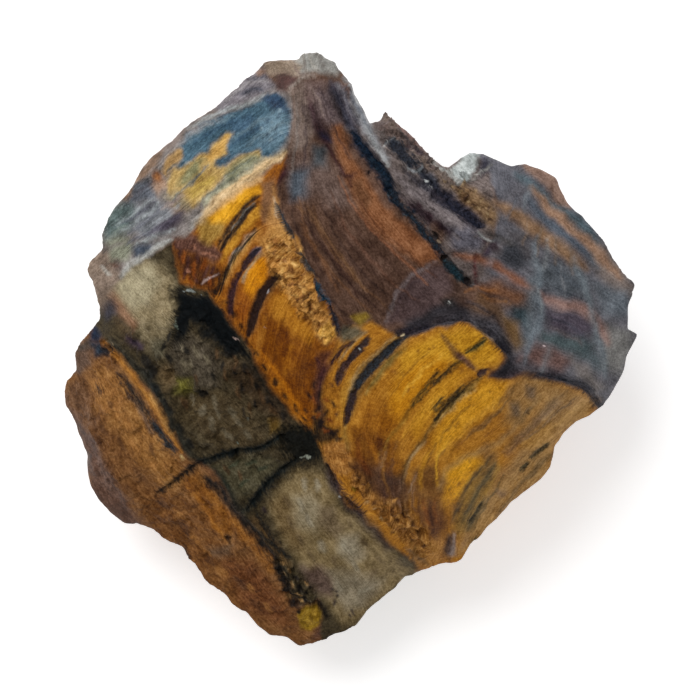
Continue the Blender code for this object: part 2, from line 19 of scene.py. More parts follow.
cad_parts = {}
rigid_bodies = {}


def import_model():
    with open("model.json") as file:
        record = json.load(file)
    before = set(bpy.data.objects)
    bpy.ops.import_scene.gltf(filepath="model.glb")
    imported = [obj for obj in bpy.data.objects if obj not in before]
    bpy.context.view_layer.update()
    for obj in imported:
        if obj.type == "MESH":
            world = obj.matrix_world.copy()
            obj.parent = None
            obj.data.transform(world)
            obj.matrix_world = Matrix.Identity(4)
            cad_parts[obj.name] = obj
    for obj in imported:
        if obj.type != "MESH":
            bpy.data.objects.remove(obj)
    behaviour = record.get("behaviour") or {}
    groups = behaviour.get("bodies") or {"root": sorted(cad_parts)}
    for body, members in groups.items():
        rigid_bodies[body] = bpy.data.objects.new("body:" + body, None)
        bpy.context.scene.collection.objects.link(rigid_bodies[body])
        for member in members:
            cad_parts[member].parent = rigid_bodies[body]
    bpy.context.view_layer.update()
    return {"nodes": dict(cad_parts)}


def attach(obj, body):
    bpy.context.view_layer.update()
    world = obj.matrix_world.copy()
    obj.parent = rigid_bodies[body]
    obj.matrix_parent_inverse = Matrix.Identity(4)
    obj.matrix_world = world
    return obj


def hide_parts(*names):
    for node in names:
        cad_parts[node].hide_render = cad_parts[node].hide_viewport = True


MM = 0.001  # m

# The camera looks straight down from far away, with the photograph's up along +Y.
FRAME_SIDE = 700  # pixels
SENSOR = 36.0  # mm
LENS = 1000.0  # mm
PIXELS_PER_MM = 9.0  # at the reference height
REFERENCE_HEIGHT = 18.0  # mm above the floor
CAMERA_HEIGHT = REFERENCE_HEIGHT + FRAME_SIDE / PIXELS_PER_MM * LENS / SENSOR  # mm


# ---------------------------------------------------------------- noise

HASH_SIZE = 256  # numbers in a shuffled table, a power of two
OCTAVE_SHIFT = 17.3  # cells between the places at which two octaves are read
FACET_MARGIN = 0.15  # how far, in cells, the middle of a facet keeps from its cell's sides
LATTICE_DIRECTIONS = np.array([
    (1, 1, 0), (-1, 1, 0), (1, -1, 0), (-1, -1, 0),
    (1, 0, 1), (-1, 0, 1), (1, 0, -1), (-1, 0, -1),
    (0, 1, 1), (0, -1, 1), (0, 1, -1), (0, -1, -1),
], float)


def shuffled(table, corner):
    """A number below the hash size for each corner of the lattice."""
    mask = HASH_SIZE - 1
    x, y, z = (corner & mask).T
    return table[(table[(table[x] + y) & mask] + z) & mask]


def lattice_noise(points, seed):
    """Gradient noise with a cell of 1, from about -1 to 1."""
    table = np.random.default_rng(seed).permutation(HASH_SIZE)
    cell = np.floor(points).astype(int)
    part = points - cell
    ease = part * part * part * (part * (part * 6 - 15) + 10)
    total = np.zeros(len(points))
    for corner in np.ndindex(2, 2, 2):
        pick = shuffled(table, cell + corner) % len(LATTICE_DIRECTIONS)
        slope = np.einsum("ij,ij->i", LATTICE_DIRECTIONS[pick], part - corner)
        weight = np.prod(np.where(np.array(corner, bool), ease, 1 - ease), axis=1)
        total += weight * slope
    return total


def rough_noise(points, length, octaves, seed):
    """Octaves of noise, each half as long and half as strong as the one before it.

    The length is the longest wave, in the unit of the points.
    """
    total = np.zeros(len(points))
    size = 1.0
    for octave in range(octaves):
        total += size * lattice_noise(points / length + OCTAVE_SHIFT * octave, seed + octave)
        length *= 0.5
        size *= 0.5
    return total


def facet_noise(points, length, seed):
    """Chipped facets: each cell of an uneven lattice is a plane with a tilt of its own."""
    rng = np.random.default_rng(seed)
    table = rng.permutation(HASH_SIZE)
    nudge = FACET_MARGIN + (1 - 2 * FACET_MARGIN) * rng.random((HASH_SIZE, 3))
    tilt = rng.normal(size=(HASH_SIZE, 3))
    spots = points / length
    cell = np.floor(spots).astype(int)
    best = np.full(len(points), np.inf)
    value = np.zeros(len(points))
    for offset in np.ndindex(3, 3, 3):
        corner = cell + np.array(offset) - 1
        pick = shuffled(table, corner)
        gap = spots - corner - nudge[pick]
        far = np.einsum("ij,ij->i", gap, gap)
        closer = far < best
        best = np.where(closer, far, best)
        value = np.where(closer, np.einsum("ij,ij->i", tilt[pick], gap), value)
    return value * length


# ---------------------------------------------------------------- small tools

def tone(red, green, blue):
    """Linear colour of an sRGB colour given as 0 to 255."""
    value = np.array([red, green, blue], float) / 255
    return np.where(value <= 0.04045, value / 12.92, ((value + 0.055) / 1.055) ** 2.4)


def fade(low, high, value):
    """Smooth step from 0 at low to 1 at high."""
    share = np.clip((value - low) / (high - low), 0, 1)
    return share * share * (3 - 2 * share)


def curve(points, steps=4):
    """The given points joined by a smooth curve through all of them."""
    drawn = np.array(points, float)
    if len(drawn) < 3:
        return drawn
    ends = np.vstack([2 * drawn[0] - drawn[1], drawn, 2 * drawn[-1] - drawn[-2]])
    share = (np.arange(steps) / steps)[:, None]
    pieces = []
    for a, b, c, d in zip(ends, ends[1:], ends[2:], ends[3:]):
        bend = 2 * a - 5 * b + 4 * c - d
        twist = 3 * b - 3 * c + d - a
        pieces.append(0.5 * (2 * b + (c - a) * share + bend * share**2 + twist * share**3))
    return np.vstack(pieces + [drawn[-1:]])


def line_distance(spots, points):
    """Each spot's distance from a polyline, its side, its place along it, and the length."""
    best = np.full(len(spots), np.inf)
    side = np.zeros(len(spots))
    along = np.zeros(len(spots))
    travelled = 0.0
    for start, end in zip(points, points[1:]):
        step = end - start
        length = math.hypot(*step)
        if length == 0:
            continue
        off = spots - start
        share = np.clip(off @ step / length**2, 0, 1)
        gap = off - share[:, None] * step
        far = np.hypot(gap[:, 0], gap[:, 1])
        closer = far < best
        best = np.where(closer, far, best)
        turn = np.sign(step[0] * off[:, 1] - step[1] * off[:, 0])
        side = np.where(closer, turn, side)
        along = np.where(closer, travelled + share * length, along)
        travelled += length
    return best, side, along, travelled


def inside(spots, outline):
    """True for the spots inside a closed outline."""
    result = np.zeros(len(spots), bool)
    x, y = spots.T
    for (ax, ay), (bx, by) in zip(outline, np.roll(outline, -1, axis=0)):
        if ay == by:
            continue
        crosses = (ay > y) != (by > y)
        result ^= crosses & (x < ax + (y - ay) * (bx - ax) / (by - ay))
    return result


def area_distance(spots, outline):
    """Signed distance to a closed outline, negative inside."""
    ring = np.vstack([outline, outline[:1]])
    far = line_distance(spots, ring)[0]
    return np.where(inside(spots, outline), -far, far)


def near_box(spots, points, reach):
    """Indices of the spots inside the points' box, widened by the reach."""
    low = points.min(axis=0) - reach
    high = points.max(axis=0) + reach
    return np.flatnonzero(np.all((spots > low) & (spots < high), axis=1))


def nearest(points, spots):
    """For each spot, the number of the nearest point and how far away that is."""
    tree = KDTree(len(points))
    for number, point in enumerate(points):
        tree.insert(point, number)
    tree.balance()
    found = [tree.find(spot) for spot in spots]
    return np.array([item[1] for item in found]), np.array([item[2] for item in found])


def with_zero(pixels):
    """Places in the frame with a third coordinate of 0."""
    return np.column_stack([pixels, np.zeros(len(pixels))])


def to_frame(places):
    """Pixels of the frame at which the camera sees places given in mm."""
    scale = LENS / SENSOR * FRAME_SIDE / (CAMERA_HEIGHT - places[:, 2])
    middle = FRAME_SIDE / 2
    return np.column_stack([middle + scale * places[:, 0], middle - scale * places[:, 1]])


# ---------------------------------------------------------------- kinds of marks
# Colours are sRGB, places and widths are pixels of the frame, depths are millimetres.
# An edge is how far a mark's colour fades on either side of its outline, in pixels.

def wash(colour, edge, strength, outline):
    """A soft-edged area of colour."""
    return {"kind": "wash", "colour": tone(*colour), "edge": edge, "strength": strength,
            "points": np.array(outline, float)}


def streak(colour, width, edge, strength, points):
    """A soft stroke of colour that thins out at both ends."""
    return {"kind": "streak", "colour": tone(*colour), "width": width, "edge": edge,
            "strength": strength, "points": curve(points)}


def ink(colour, width, depth, points, ragged=1.0):
    """A dark stroke with feathered edges, carved in by the depth."""
    return {"kind": "ink", "colour": tone(*colour), "width": width, "depth": depth,
            "ragged": ragged, "points": curve(points)}


def pool(colour, depth, outline, ragged=3.0):
    """A dark area with torn edges, sunk by the depth."""
    return {"kind": "pool", "colour": tone(*colour), "depth": depth, "ragged": ragged,
            "points": np.array(outline, float)}


def painted_glint(colour, width, points):
    """A painted glint: a small pale stroke or fleck of painted highlight."""
    return {"kind": "painted_glint", "colour": tone(*colour), "width": width, "points": curve(points)}


def blots(colour, strength, spots):
    """Soft oval spots: each is (u, v, half length, half width, angle in degrees)."""
    return {"kind": "blots", "colour": tone(*colour), "strength": strength, "spots": spots}


def hackle(height, length, crumbs, edge, outline):
    """A broken patch: how steep its chips are, how long in mm, and how freckled it is."""
    return {"kind": "hackle", "height": height, "length": length, "crumbs": crumbs,
            "edge": edge, "points": np.array(outline, float)}


# ---------------------------------------------------------------- the marks on the upper side

LEFT_SLOPE_OUTLINE = [
    (80, 340), (75, 250), (100, 180), (180, 95), (250, 60), (270, 50), (300, 50), (299, 80),
    (292, 96), (295, 118), (290, 141), (286, 154), (260, 177), (231, 195), (205, 216), (188, 235),
    (172, 241), (152, 252), (133, 266), (114, 283), (98, 306),
]
COLUMN_OUTLINE = [
    (286, 154), (290, 141), (295, 118), (292, 96), (266, 76), (262, 50), (330, 42), (352, 80),
    (345, 130), (360, 151), (371, 161), (381, 179), (403, 206), (431, 235), (451, 264),
    (470, 280), (478, 300), (440, 322), (401, 337), (372, 338), (340, 336), (332, 315),
    (331, 303), (319, 301), (315, 280), (303, 263), (301, 252), (296, 238), (286, 230),
    (280, 218), (277, 206), (275, 187),
]
SLAB_OUTLINE = [
    (334, 50), (355, 85), (385, 105), (443, 163), (474, 148), (488, 170), (496, 200), (494, 235),
    (480, 258), (490, 278), (472, 286), (451, 264), (439, 250), (431, 235), (403, 206),
    (381, 179), (360, 151), (345, 130), (334, 102),
]
SLATE_OUTLINE = [
    (470, 145), (490, 150), (560, 160), (650, 280), (650, 340), (620, 395), (604, 412),
    (597, 410), (588, 395), (568, 384), (533, 372), (509, 380), (487, 379), (500, 367),
    (505, 359), (503, 352), (487, 336), (469, 324), (455, 325), (421, 333), (401, 338),
    (440, 312), (462, 290), (472, 286), (480, 258), (494, 235), (496, 200), (488, 170),
]
GOLD_BAND_OUTLINE = [
    (172, 243), (188, 236), (205, 216), (231, 195), (260, 177), (286, 154), (276, 187),
    (277, 206), (280, 218), (286, 230), (296, 238), (301, 252), (303, 263), (310, 273),
    (315, 280), (317, 291), (321, 302), (331, 304), (332, 315), (336, 326), (336, 345),
    (322, 385), (318, 410), (311, 430), (304, 425), (297, 414), (285, 402), (273, 387),
    (263, 376), (255, 361), (247, 343), (232, 325), (222, 310), (208, 290), (180, 283),
]
QUARTZ_OUTLINE = [
    (92, 325), (98, 306), (114, 283), (133, 266), (152, 252), (172, 243), (180, 283), (208, 290),
    (222, 310), (232, 325), (247, 343), (255, 361), (263, 376), (273, 387), (285, 402),
    (297, 414), (311, 430), (331, 473), (346, 500), (377, 530), (394, 547), (424, 566),
    (407, 590), (366, 625), (343, 650), (322, 650), (320, 600), (300, 605), (285, 580),
    (270, 550), (250, 525), (235, 510), (225, 490), (215, 470), (190, 460), (180, 445),
    (170, 430), (160, 410), (150, 390), (135, 375), (120, 355), (105, 340),
]
LOBES_OUTLINE = [
    (336, 340), (352, 326), (372, 322), (401, 338), (413, 336), (421, 333), (433, 329),
    (455, 324), (463, 321), (469, 323), (476, 328), (487, 336), (495, 343), (503, 352),
    (505, 359), (500, 367), (489, 377), (509, 380), (525, 372), (533, 372), (538, 379),
    (555, 381), (568, 384), (580, 388), (588, 395), (595, 404), (599, 412), (640, 430),
    (500, 600), (435, 585), (420, 566), (394, 547), (377, 530), (346, 500), (331, 473),
    (311, 430), (318, 410), (322, 385), (336, 345),
]

GROUND = [
    wash((122, 80, 48), 3, 1.0, [(0, 0), (700, 0), (700, 700), (0, 700)]),
]

# The pale greys of the left slope are partly the stone's own blue-grey and partly painted sheen,
# the silvery haze of light on that steep glossy face.
LEFT_SLOPE = [
    wash((122, 114, 110), 3, 1.0, LEFT_SLOPE_OUTLINE),
    wash((134, 114, 98), 6, 0.9, [(84, 250), (112, 250), (120, 275), (104, 310), (84, 300)]),
    wash((128, 130, 110), 5, 0.95, [(106, 240), (124, 234), (134, 246), (128, 262), (110, 262)]),
    wash((88, 70, 62), 3, 0.8, [(112, 259), (120, 258), (122, 270), (114, 272)]),
    wash((84, 100, 98), 6, 0.95, [
        (102, 222), (112, 206), (130, 200), (138, 212), (130, 230), (106, 240)]),
    wash((84, 90, 100), 6, 0.9, [
        (132, 184), (142, 178), (156, 186), (154, 200), (138, 204), (126, 204)]),
    wash((104, 108, 114), 6, 0.85, [
        (134, 206), (158, 200), (176, 214), (170, 232), (148, 240), (132, 232)]),
    wash((72, 62, 72), 4, 0.9, [
        (160, 222), (172, 213), (183, 214), (182, 222), (172, 230), (160, 232)]),
    wash((128, 106, 94), 4, 0.85, [(168, 204), (182, 198), (192, 204), (186, 214), (174, 214)]),
    wash((162, 128, 102), 4, 0.85, [(150, 184), (164, 176), (170, 186), (158, 194)]),
    wash((134, 104, 80), 3, 0.9, [
        (120, 196), (136, 174), (154, 152), (166, 144), (162, 156), (148, 172), (136, 186),
        (126, 200)]),
    wash((122, 106, 98), 5, 0.9, [
        (160, 150), (182, 128), (214, 104), (226, 104), (214, 114), (190, 132), (172, 150)]),
    wash((160, 104, 58), 3, 0.95, [(150, 176), (156, 170), (161, 174), (160, 182), (152, 183)]),
    # This wash and the next are painted highlight: pale light along the ridge between the left
    # slope and the gold band.
    wash((156, 150, 128), 5, 1.0, [
        (203, 200), (212, 188), (241, 168), (262, 156), (286, 150), (270, 166), (248, 184),
        (222, 200), (206, 212)]),
    wash((160, 155, 148), 3, 1.0, [
        (188, 232), (192, 222), (204, 209), (222, 192), (228, 196), (214, 212), (200, 224),
        (192, 236), (176, 243)]),
    wash((178, 146, 86), 2.5, 1.0, [
        (168, 185), (174, 168), (183, 163), (192, 161), (203, 154), (208, 152), (212, 142),
        (221, 136), (228, 132), (236, 133), (228, 142), (227, 148), (228, 154), (216, 163),
        (227, 166), (241, 155), (256, 148), (260, 150), (263, 155), (241, 163), (224, 176),
        (212, 189), (203, 199), (192, 208), (181, 202), (174, 198), (168, 192)]),
    wash((192, 146, 72), 3, 0.9, [
        (206, 158), (212, 146), (226, 135), (230, 138), (224, 152), (212, 162)]),
    wash((126, 128, 94), 4, 0.9, [
        (184, 170), (194, 163), (204, 160), (200, 172), (188, 184), (178, 186)]),
    wash((184, 154, 72), 4, 0.9, [(188, 190), (204, 176), (216, 176), (204, 192), (192, 200)]),
    wash((132, 132, 100), 4, 0.85, [
        (228, 168), (246, 154), (258, 152), (262, 158), (240, 174), (222, 186)]),
    wash((140, 126, 96), 5, 0.8, [(164, 196), (176, 190), (190, 204), (188, 212), (176, 208)]),
    wash((70, 98, 114), 2.5, 1.0, [
        (179, 147), (187, 134), (200, 125), (213, 118), (237, 110), (250, 105), (261, 99),
        (274, 92), (283, 97), (291, 111), (293, 128), (285, 142), (276, 151), (269, 157),
        (262, 155), (259, 148), (241, 154), (227, 163), (222, 168), (216, 166), (216, 161),
        (228, 154), (227, 145), (236, 133), (228, 132), (212, 142), (208, 152), (197, 155),
        (188, 163), (177, 168), (179, 158)]),
    wash((104, 130, 144), 5, 0.85, [(262, 118), (284, 110), (290, 128), (278, 148), (260, 146)]),
    wash((38, 58, 86), 4, 0.85, [(262, 98), (276, 92), (284, 98), (288, 112), (272, 110)]),
    wash((56, 82, 104), 5, 0.8, [(230, 122), (250, 114), (258, 122), (244, 134), (232, 134)]),
    wash((176, 140, 90), 2.5, 1.0, [
        (163, 172), (167, 160), (175, 150), (180, 149), (182, 157), (176, 166), (167, 176)]),
    wash((58, 68, 82), 4, 0.95, [(133, 248), (144, 243), (153, 243), (150, 254), (136, 258)]),
    wash((120, 114, 120), 5, 0.9, [
        (214, 104), (232, 88), (250, 72), (268, 62), (280, 64), (276, 84), (258, 96), (236, 106),
        (220, 114)]),
    wash((150, 116, 92), 3, 0.8, [(255, 70), (263, 67), (265, 73), (257, 76)]),
    wash((150, 130, 112), 3, 0.95, [(266, 60), (296, 57), (304, 70), (296, 76), (276, 76)]),
    wash((80, 52, 48), 3.5, 0.95, [
        (276, 76), (284, 72), (296, 74), (296, 86), (286, 91), (275, 88)]),
]
# The pale grey streaks among these marks are partly painted highlight, silvery light on the
# fibres.
LEFT_SLOPE_MARKS = [
    # This streak and the pale one two lines down are painted highlight along the lit ridge.
    streak((206, 174, 128), 8, 3, 1.0, [
        (199, 222), (217, 200), (237, 184), (256, 171), (270, 162), (286, 152)]),
    streak((176, 176, 170), 3.5, 2, 0.9, [(118, 278), (133, 265), (153, 250), (172, 241)]),
    streak((152, 158, 158), 3, 2, 0.9, [
        (186, 130), (200, 121), (218, 112), (234, 107), (250, 102), (266, 94)]),
    streak((156, 152, 150), 3, 2, 0.7, [(172, 152), (186, 138), (204, 126), (222, 118)]),
    streak((72, 66, 80), 5, 2.5, 0.85, [(148, 236), (160, 228), (172, 220), (184, 212)]),
    streak((158, 162, 166), 2.4, 1.6, 0.85, [(144, 232), (158, 222), (170, 214), (180, 204)]),
    streak((80, 82, 92), 3, 2, 0.8, [(124, 236), (136, 228), (150, 219), (162, 208)]),
    streak((150, 156, 158), 2.4, 1.6, 0.8, [(120, 232), (134, 222), (148, 213), (160, 202)]),
    streak((76, 76, 88), 3, 2, 0.8, [(122, 224), (134, 216), (146, 208), (158, 198)]),
    streak((144, 150, 152), 2, 1.5, 0.8, [(116, 228), (128, 217), (142, 207), (154, 196)]),
    streak((152, 158, 158), 2.4, 1.6, 0.8, [(136, 246), (150, 238), (164, 234), (176, 228)]),
    streak((84, 86, 98), 3, 2, 0.8, [(126, 244), (140, 238), (152, 230)]),
    streak((170, 172, 170), 2, 1.4, 0.9, [(150, 248), (160, 243), (170, 240)]),
    streak((90, 96, 96), 2.6, 2, 0.8, [(104, 232), (112, 226), (122, 218), (132, 208)]),
    streak((128, 138, 128), 2.4, 2, 0.7, [(106, 240), (116, 233), (126, 226)]),
    streak((86, 84, 92), 3, 2, 0.8, [(132, 200), (142, 190), (152, 182)]),
    streak((150, 134, 126), 2.4, 1.6, 0.8, [(162, 210), (174, 202), (186, 196)]),
    streak((96, 82, 84), 2.6, 1.8, 0.8, [(166, 204), (176, 199), (184, 192)]),
    streak((34, 44, 62), 3.5, 2.5, 0.8, [(240, 94), (252, 90), (266, 90)]),
    streak((52, 58, 72), 3, 2, 0.8, [(253, 79), (260, 76), (268, 76)]),
    streak((156, 150, 150), 2.4, 1.8, 0.7, [(226, 100), (240, 88), (254, 82), (270, 80)]),
    streak((44, 70, 94), 3, 2, 0.75, [(194, 144), (208, 134), (222, 126), (238, 118)]),
    streak((104, 126, 136), 2.4, 1.8, 0.75, [(190, 142), (204, 131), (220, 122), (236, 114)]),
    streak((106, 128, 138), 2.4, 1.8, 0.75, [(232, 142), (246, 130), (260, 120), (276, 110)]),
    streak((40, 66, 92), 2.6, 2, 0.75, [(228, 148), (242, 138), (256, 129), (272, 119)]),
    streak((116, 136, 144), 2.4, 1.8, 0.75, [(246, 146), (258, 137), (270, 130), (284, 122)]),
    streak((44, 70, 92), 2.4, 2, 0.7, [(262, 148), (272, 140), (284, 132)]),
    streak((48, 70, 90), 2.6, 2, 0.8, [(218, 165), (226, 160), (236, 154)]),
    streak((70, 88, 100), 2, 1.5, 0.8, [(190, 186), (200, 176), (210, 166)]),
    streak((76, 92, 98), 2, 1.5, 0.8, [(172, 200), (182, 190), (194, 180), (204, 172)]),
    streak((92, 98, 86), 2.4, 1.8, 0.8, [
        (198, 204), (210, 194), (226, 182), (244, 170), (258, 162)]),
    streak((160, 160, 132), 2, 1.5, 0.8, [(204, 204), (218, 192), (236, 180), (252, 170)]),
    streak((86, 96, 88), 2, 1.5, 0.75, [(226, 176), (240, 166), (254, 157)]),
    streak((130, 96, 44), 2, 1.5, 0.8, [(196, 184), (206, 178), (212, 170)]),
    streak((134, 100, 48), 2, 1.5, 0.7, [(190, 196), (200, 188), (208, 184)]),
    streak((84, 96, 100), 2, 1.5, 0.8, [(168, 172), (174, 166), (178, 164)]),
    streak((110, 74, 56), 3, 2, 0.7, [(110, 264), (118, 266)]),
    streak((190, 186, 176), 2.4, 1.5, 0.8, [(102, 264), (106, 270), (111, 276)]),
    streak((104, 94, 92), 4, 3, 0.7, [(100, 252), (112, 247), (126, 240)]),
    blots((44, 60, 78), 0.7, [
        (276, 104, 3, 1.6, 140), (283, 108, 3, 1.4, 140), (279, 116, 3, 1.4, 150),
        (287, 118, 3, 1.4, 130), (284, 126, 3, 1.4, 140), (275, 128, 3, 1.2, 150),
        (288, 134, 3, 1.4, 130), (268, 118, 3, 1.2, 150), (266, 134, 4, 1.2, 145)]),
    blots((128, 148, 156), 0.7, [
        (281, 112, 3, 1.2, 140), (274, 122, 3, 1.2, 145), (286, 124, 3, 1.2, 140),
        (280, 132, 3, 1.2, 145), (270, 140, 3, 1.2, 145), (262, 126, 3, 1.2, 150)]),
]

COLUMN = [
    wash((94, 68, 54), 3, 1.0, COLUMN_OUTLINE),
    # Partly painted sheen: the purple-grey haze of soft light on the column's glossy upper left,
    # over its brown.
    wash((112, 92, 84), 12, 0.9, [
        (288, 160), (312, 150), (338, 176), (352, 204), (336, 214), (316, 196), (296, 200)]),
    wash((84, 60, 48), 14, 0.9, [
        (344, 226), (372, 232), (400, 262), (430, 280), (440, 312), (400, 330), (360, 320),
        (342, 280)]),
    wash((72, 54, 46), 10, 0.8, [(400, 290), (446, 268), (470, 292), (440, 320), (408, 326)]),
    # Painted highlight: the pale light on the column's cap.
    wash((148, 146, 140), 4, 1.0, [
        (288, 60), (300, 48), (330, 46), (342, 66), (338, 74), (312, 73), (298, 74)]),
    wash((150, 132, 114), 3, 0.9, [
        (262, 62), (292, 58), (304, 66), (300, 76), (284, 74), (268, 76)]),
    wash((112, 92, 88), 4, 0.85, [
        (300, 82), (322, 80), (334, 92), (344, 118), (334, 132), (318, 118), (306, 104)]),
    wash((76, 68, 78), 4, 0.85, [
        (330, 80), (342, 84), (352, 110), (358, 128), (348, 124), (338, 104)]),
    wash((78, 50, 46), 3.5, 0.95, [
        (277, 76), (286, 73), (297, 76), (296, 88), (286, 91), (276, 88)]),
    wash((132, 114, 104), 6, 0.95, [
        (291, 88), (304, 82), (310, 104), (314, 130), (306, 148), (290, 152), (292, 120)]),
    wash((120, 104, 104), 6, 0.8, [(314, 90), (330, 92), (342, 122), (330, 126), (318, 110)]),
    wash((62, 46, 50), 5, 0.9, [
        (304, 106), (313, 104), (322, 118), (330, 134), (326, 146), (316, 136), (308, 122)]),
    # This wash and the next are painted sheen: grey-blue light reflected on the column's upper
    # left.
    wash((74, 84, 90), 6, 0.85, [(313, 146), (326, 147), (325, 168), (312, 166)]),
    wash((72, 86, 98), 7, 0.85, [(290, 172), (308, 168), (306, 196), (290, 200)]),
    wash((66, 34, 42), 4, 0.9, [(274, 164), (284, 160), (288, 174), (280, 184), (273, 180)]),
    wash((146, 94, 60), 5, 0.95, [
        (332, 124), (341, 124), (345, 138), (351, 158), (363, 170), (376, 192), (388, 209),
        (406, 225), (425, 240), (441, 254), (436, 262), (418, 263), (403, 254), (388, 242),
        (371, 226), (359, 208), (352, 192), (345, 176), (339, 160), (334, 140)]),
    wash((118, 84, 60), 4, 0.6, [(350, 178), (362, 180), (372, 200), (366, 212), (356, 200)]),
    wash((104, 78, 66), 5, 0.7, [
        (352, 140), (364, 158), (382, 186), (394, 206), (388, 210), (374, 190), (360, 168),
        (348, 148)]),
    wash((88, 70, 70), 5, 0.8, [
        (386, 324), (392, 304), (403, 286), (418, 272), (436, 264), (450, 268), (452, 290),
        (436, 308), (412, 322)]),
    wash((40, 40, 46), 6, 0.9, [
        (404, 322), (430, 308), (452, 300), (470, 308), (468, 318), (440, 322), (410, 332)]),
]
COLUMN_MARKS = [
    streak((60, 34, 36), 4, 2.5, 1.0, [
        (316, 124), (321, 133), (327, 146), (334, 158), (340, 169), (345, 177), (349, 176),
        (356, 174)]),
    streak((60, 34, 36), 2.4, 2, 0.9, [(351, 175), (351, 181), (352, 188)]),
    streak((34, 36, 58), 5, 3, 0.8, [(319, 132), (326, 137), (332, 143)]),
    # Painted highlight along the column's lit left edge.
    streak((160, 148, 138), 2.4, 1.6, 0.85, [
        (291, 96), (291, 90), (294, 84), (298, 79), (306, 77), (316, 77)]),
    streak((104, 84, 76), 2, 1.5, 0.8, [(294, 62), (298, 70), (302, 76)]),
    streak((108, 96, 86), 2, 1.5, 0.8, [(302, 56), (306, 66), (310, 74)]),
    streak((172, 166, 156), 2, 1.5, 0.8, [(308, 54), (312, 64), (318, 72)]),
    streak((112, 104, 98), 2, 1.5, 0.8, [(318, 54), (322, 64), (328, 72)]),
    streak((92, 66, 70), 3, 2, 0.8, [(304, 92), (310, 106), (314, 122)]),
    streak((146, 126, 116), 2, 1.5, 0.7, [(310, 84), (318, 100), (326, 118)]),
    streak((60, 46, 52), 2.4, 1.8, 0.8, [(318, 86), (326, 100), (334, 116)]),
    streak((126, 90, 60), 2.6, 2, 0.8, [
        (295, 205), (306, 214), (317, 226), (336, 251), (354, 275), (366, 292)]),
    streak((120, 86, 58), 2.4, 2, 0.8, [
        (303, 202), (316, 220), (330, 241), (348, 266), (360, 282)]),
    streak((64, 40, 34), 2.4, 2, 0.85, [
        (292, 210), (306, 222), (320, 242), (338, 266), (352, 286), (360, 300)]),
    streak((68, 44, 38), 2.4, 2, 0.8, [(304, 212), (320, 232), (336, 256), (350, 274)]),
    streak((128, 84, 52), 2.4, 2, 0.7, [(300, 224), (314, 246), (326, 268), (340, 294)]),
    streak((62, 40, 34), 2.4, 2, 0.8, [(294, 226), (310, 250), (322, 274), (330, 292)]),
    streak((66, 44, 38), 2.2, 2, 0.7, [(320, 206), (340, 232), (362, 260), (384, 282)]),
    streak((110, 80, 66), 2.4, 2, 0.6, [(326, 204), (348, 234), (370, 258), (396, 282)]),
    streak((70, 48, 40), 2.2, 2, 0.6, [(340, 208), (362, 236), (390, 264), (412, 280)]),
    streak((52, 54, 66), 9, 5, 0.9, [(329, 82), (336, 96), (342, 110), (350, 124), (358, 136)]),
    streak((56, 46, 46), 3, 2, 0.8, [(331, 92), (336, 106), (342, 118)]),
    streak((118, 106, 106), 3.4, 2, 0.8, [
        (386, 322), (389, 310), (395, 297), (403, 285), (413, 275), (425, 267), (438, 261)]),
    streak((66, 52, 54), 3, 2, 0.7, [(391, 324), (396, 308), (404, 294), (414, 283), (428, 274)]),
    streak((112, 76, 50), 2, 1.4, 0.8, [
        (298, 196), (306, 228), (322, 258), (346, 288), (372, 312)]),
    streak((56, 36, 30), 2, 1.4, 0.85, [
        (304, 200), (314, 232), (332, 262), (356, 290), (384, 314)]),
    streak((110, 76, 50), 2, 1.4, 0.75, [
        (312, 206), (322, 236), (342, 266), (366, 290), (390, 310)]),
    streak((56, 38, 32), 2, 1.4, 0.85, [
        (290, 200), (298, 234), (312, 266), (330, 296), (352, 326)]),
    streak((106, 70, 44), 2, 1.4, 0.8, [
        (288, 222), (297, 248), (311, 278), (329, 306), (348, 328)]),
    streak((60, 42, 36), 2, 1.4, 0.8, [
        (322, 200), (334, 232), (354, 262), (380, 290), (402, 306)]),
    streak((108, 74, 58), 2, 1.4, 0.75, [
        (330, 190), (344, 224), (366, 254), (392, 282), (418, 300)]),
    streak((150, 96, 66), 2, 1.4, 0.75, [
        (338, 176), (352, 204), (374, 232), (400, 258), (428, 284)]),
    streak((96, 58, 40), 2, 1.4, 0.75, [
        (346, 180), (362, 206), (384, 232), (410, 256), (436, 278)]),
    # Painted highlight down the column's left edge.
    streak((128, 118, 112), 2, 1.4, 0.8, [
        (296, 96), (298, 116), (298, 140), (294, 160), (290, 180)]),
    streak((66, 52, 54), 2, 1.4, 0.8, [(302, 100), (305, 124), (306, 148), (302, 172)]),
    streak((72, 54, 52), 2, 1.4, 0.8, [(320, 96), (330, 118), (340, 140), (350, 160)]),
    ink((16, 12, 18), 2.4, 0.05, [(368, 172), (370, 173)], 1.2),
    ink((30, 30, 30), 4, 0.1, [(446, 301), (452, 303)], 2.0),
]

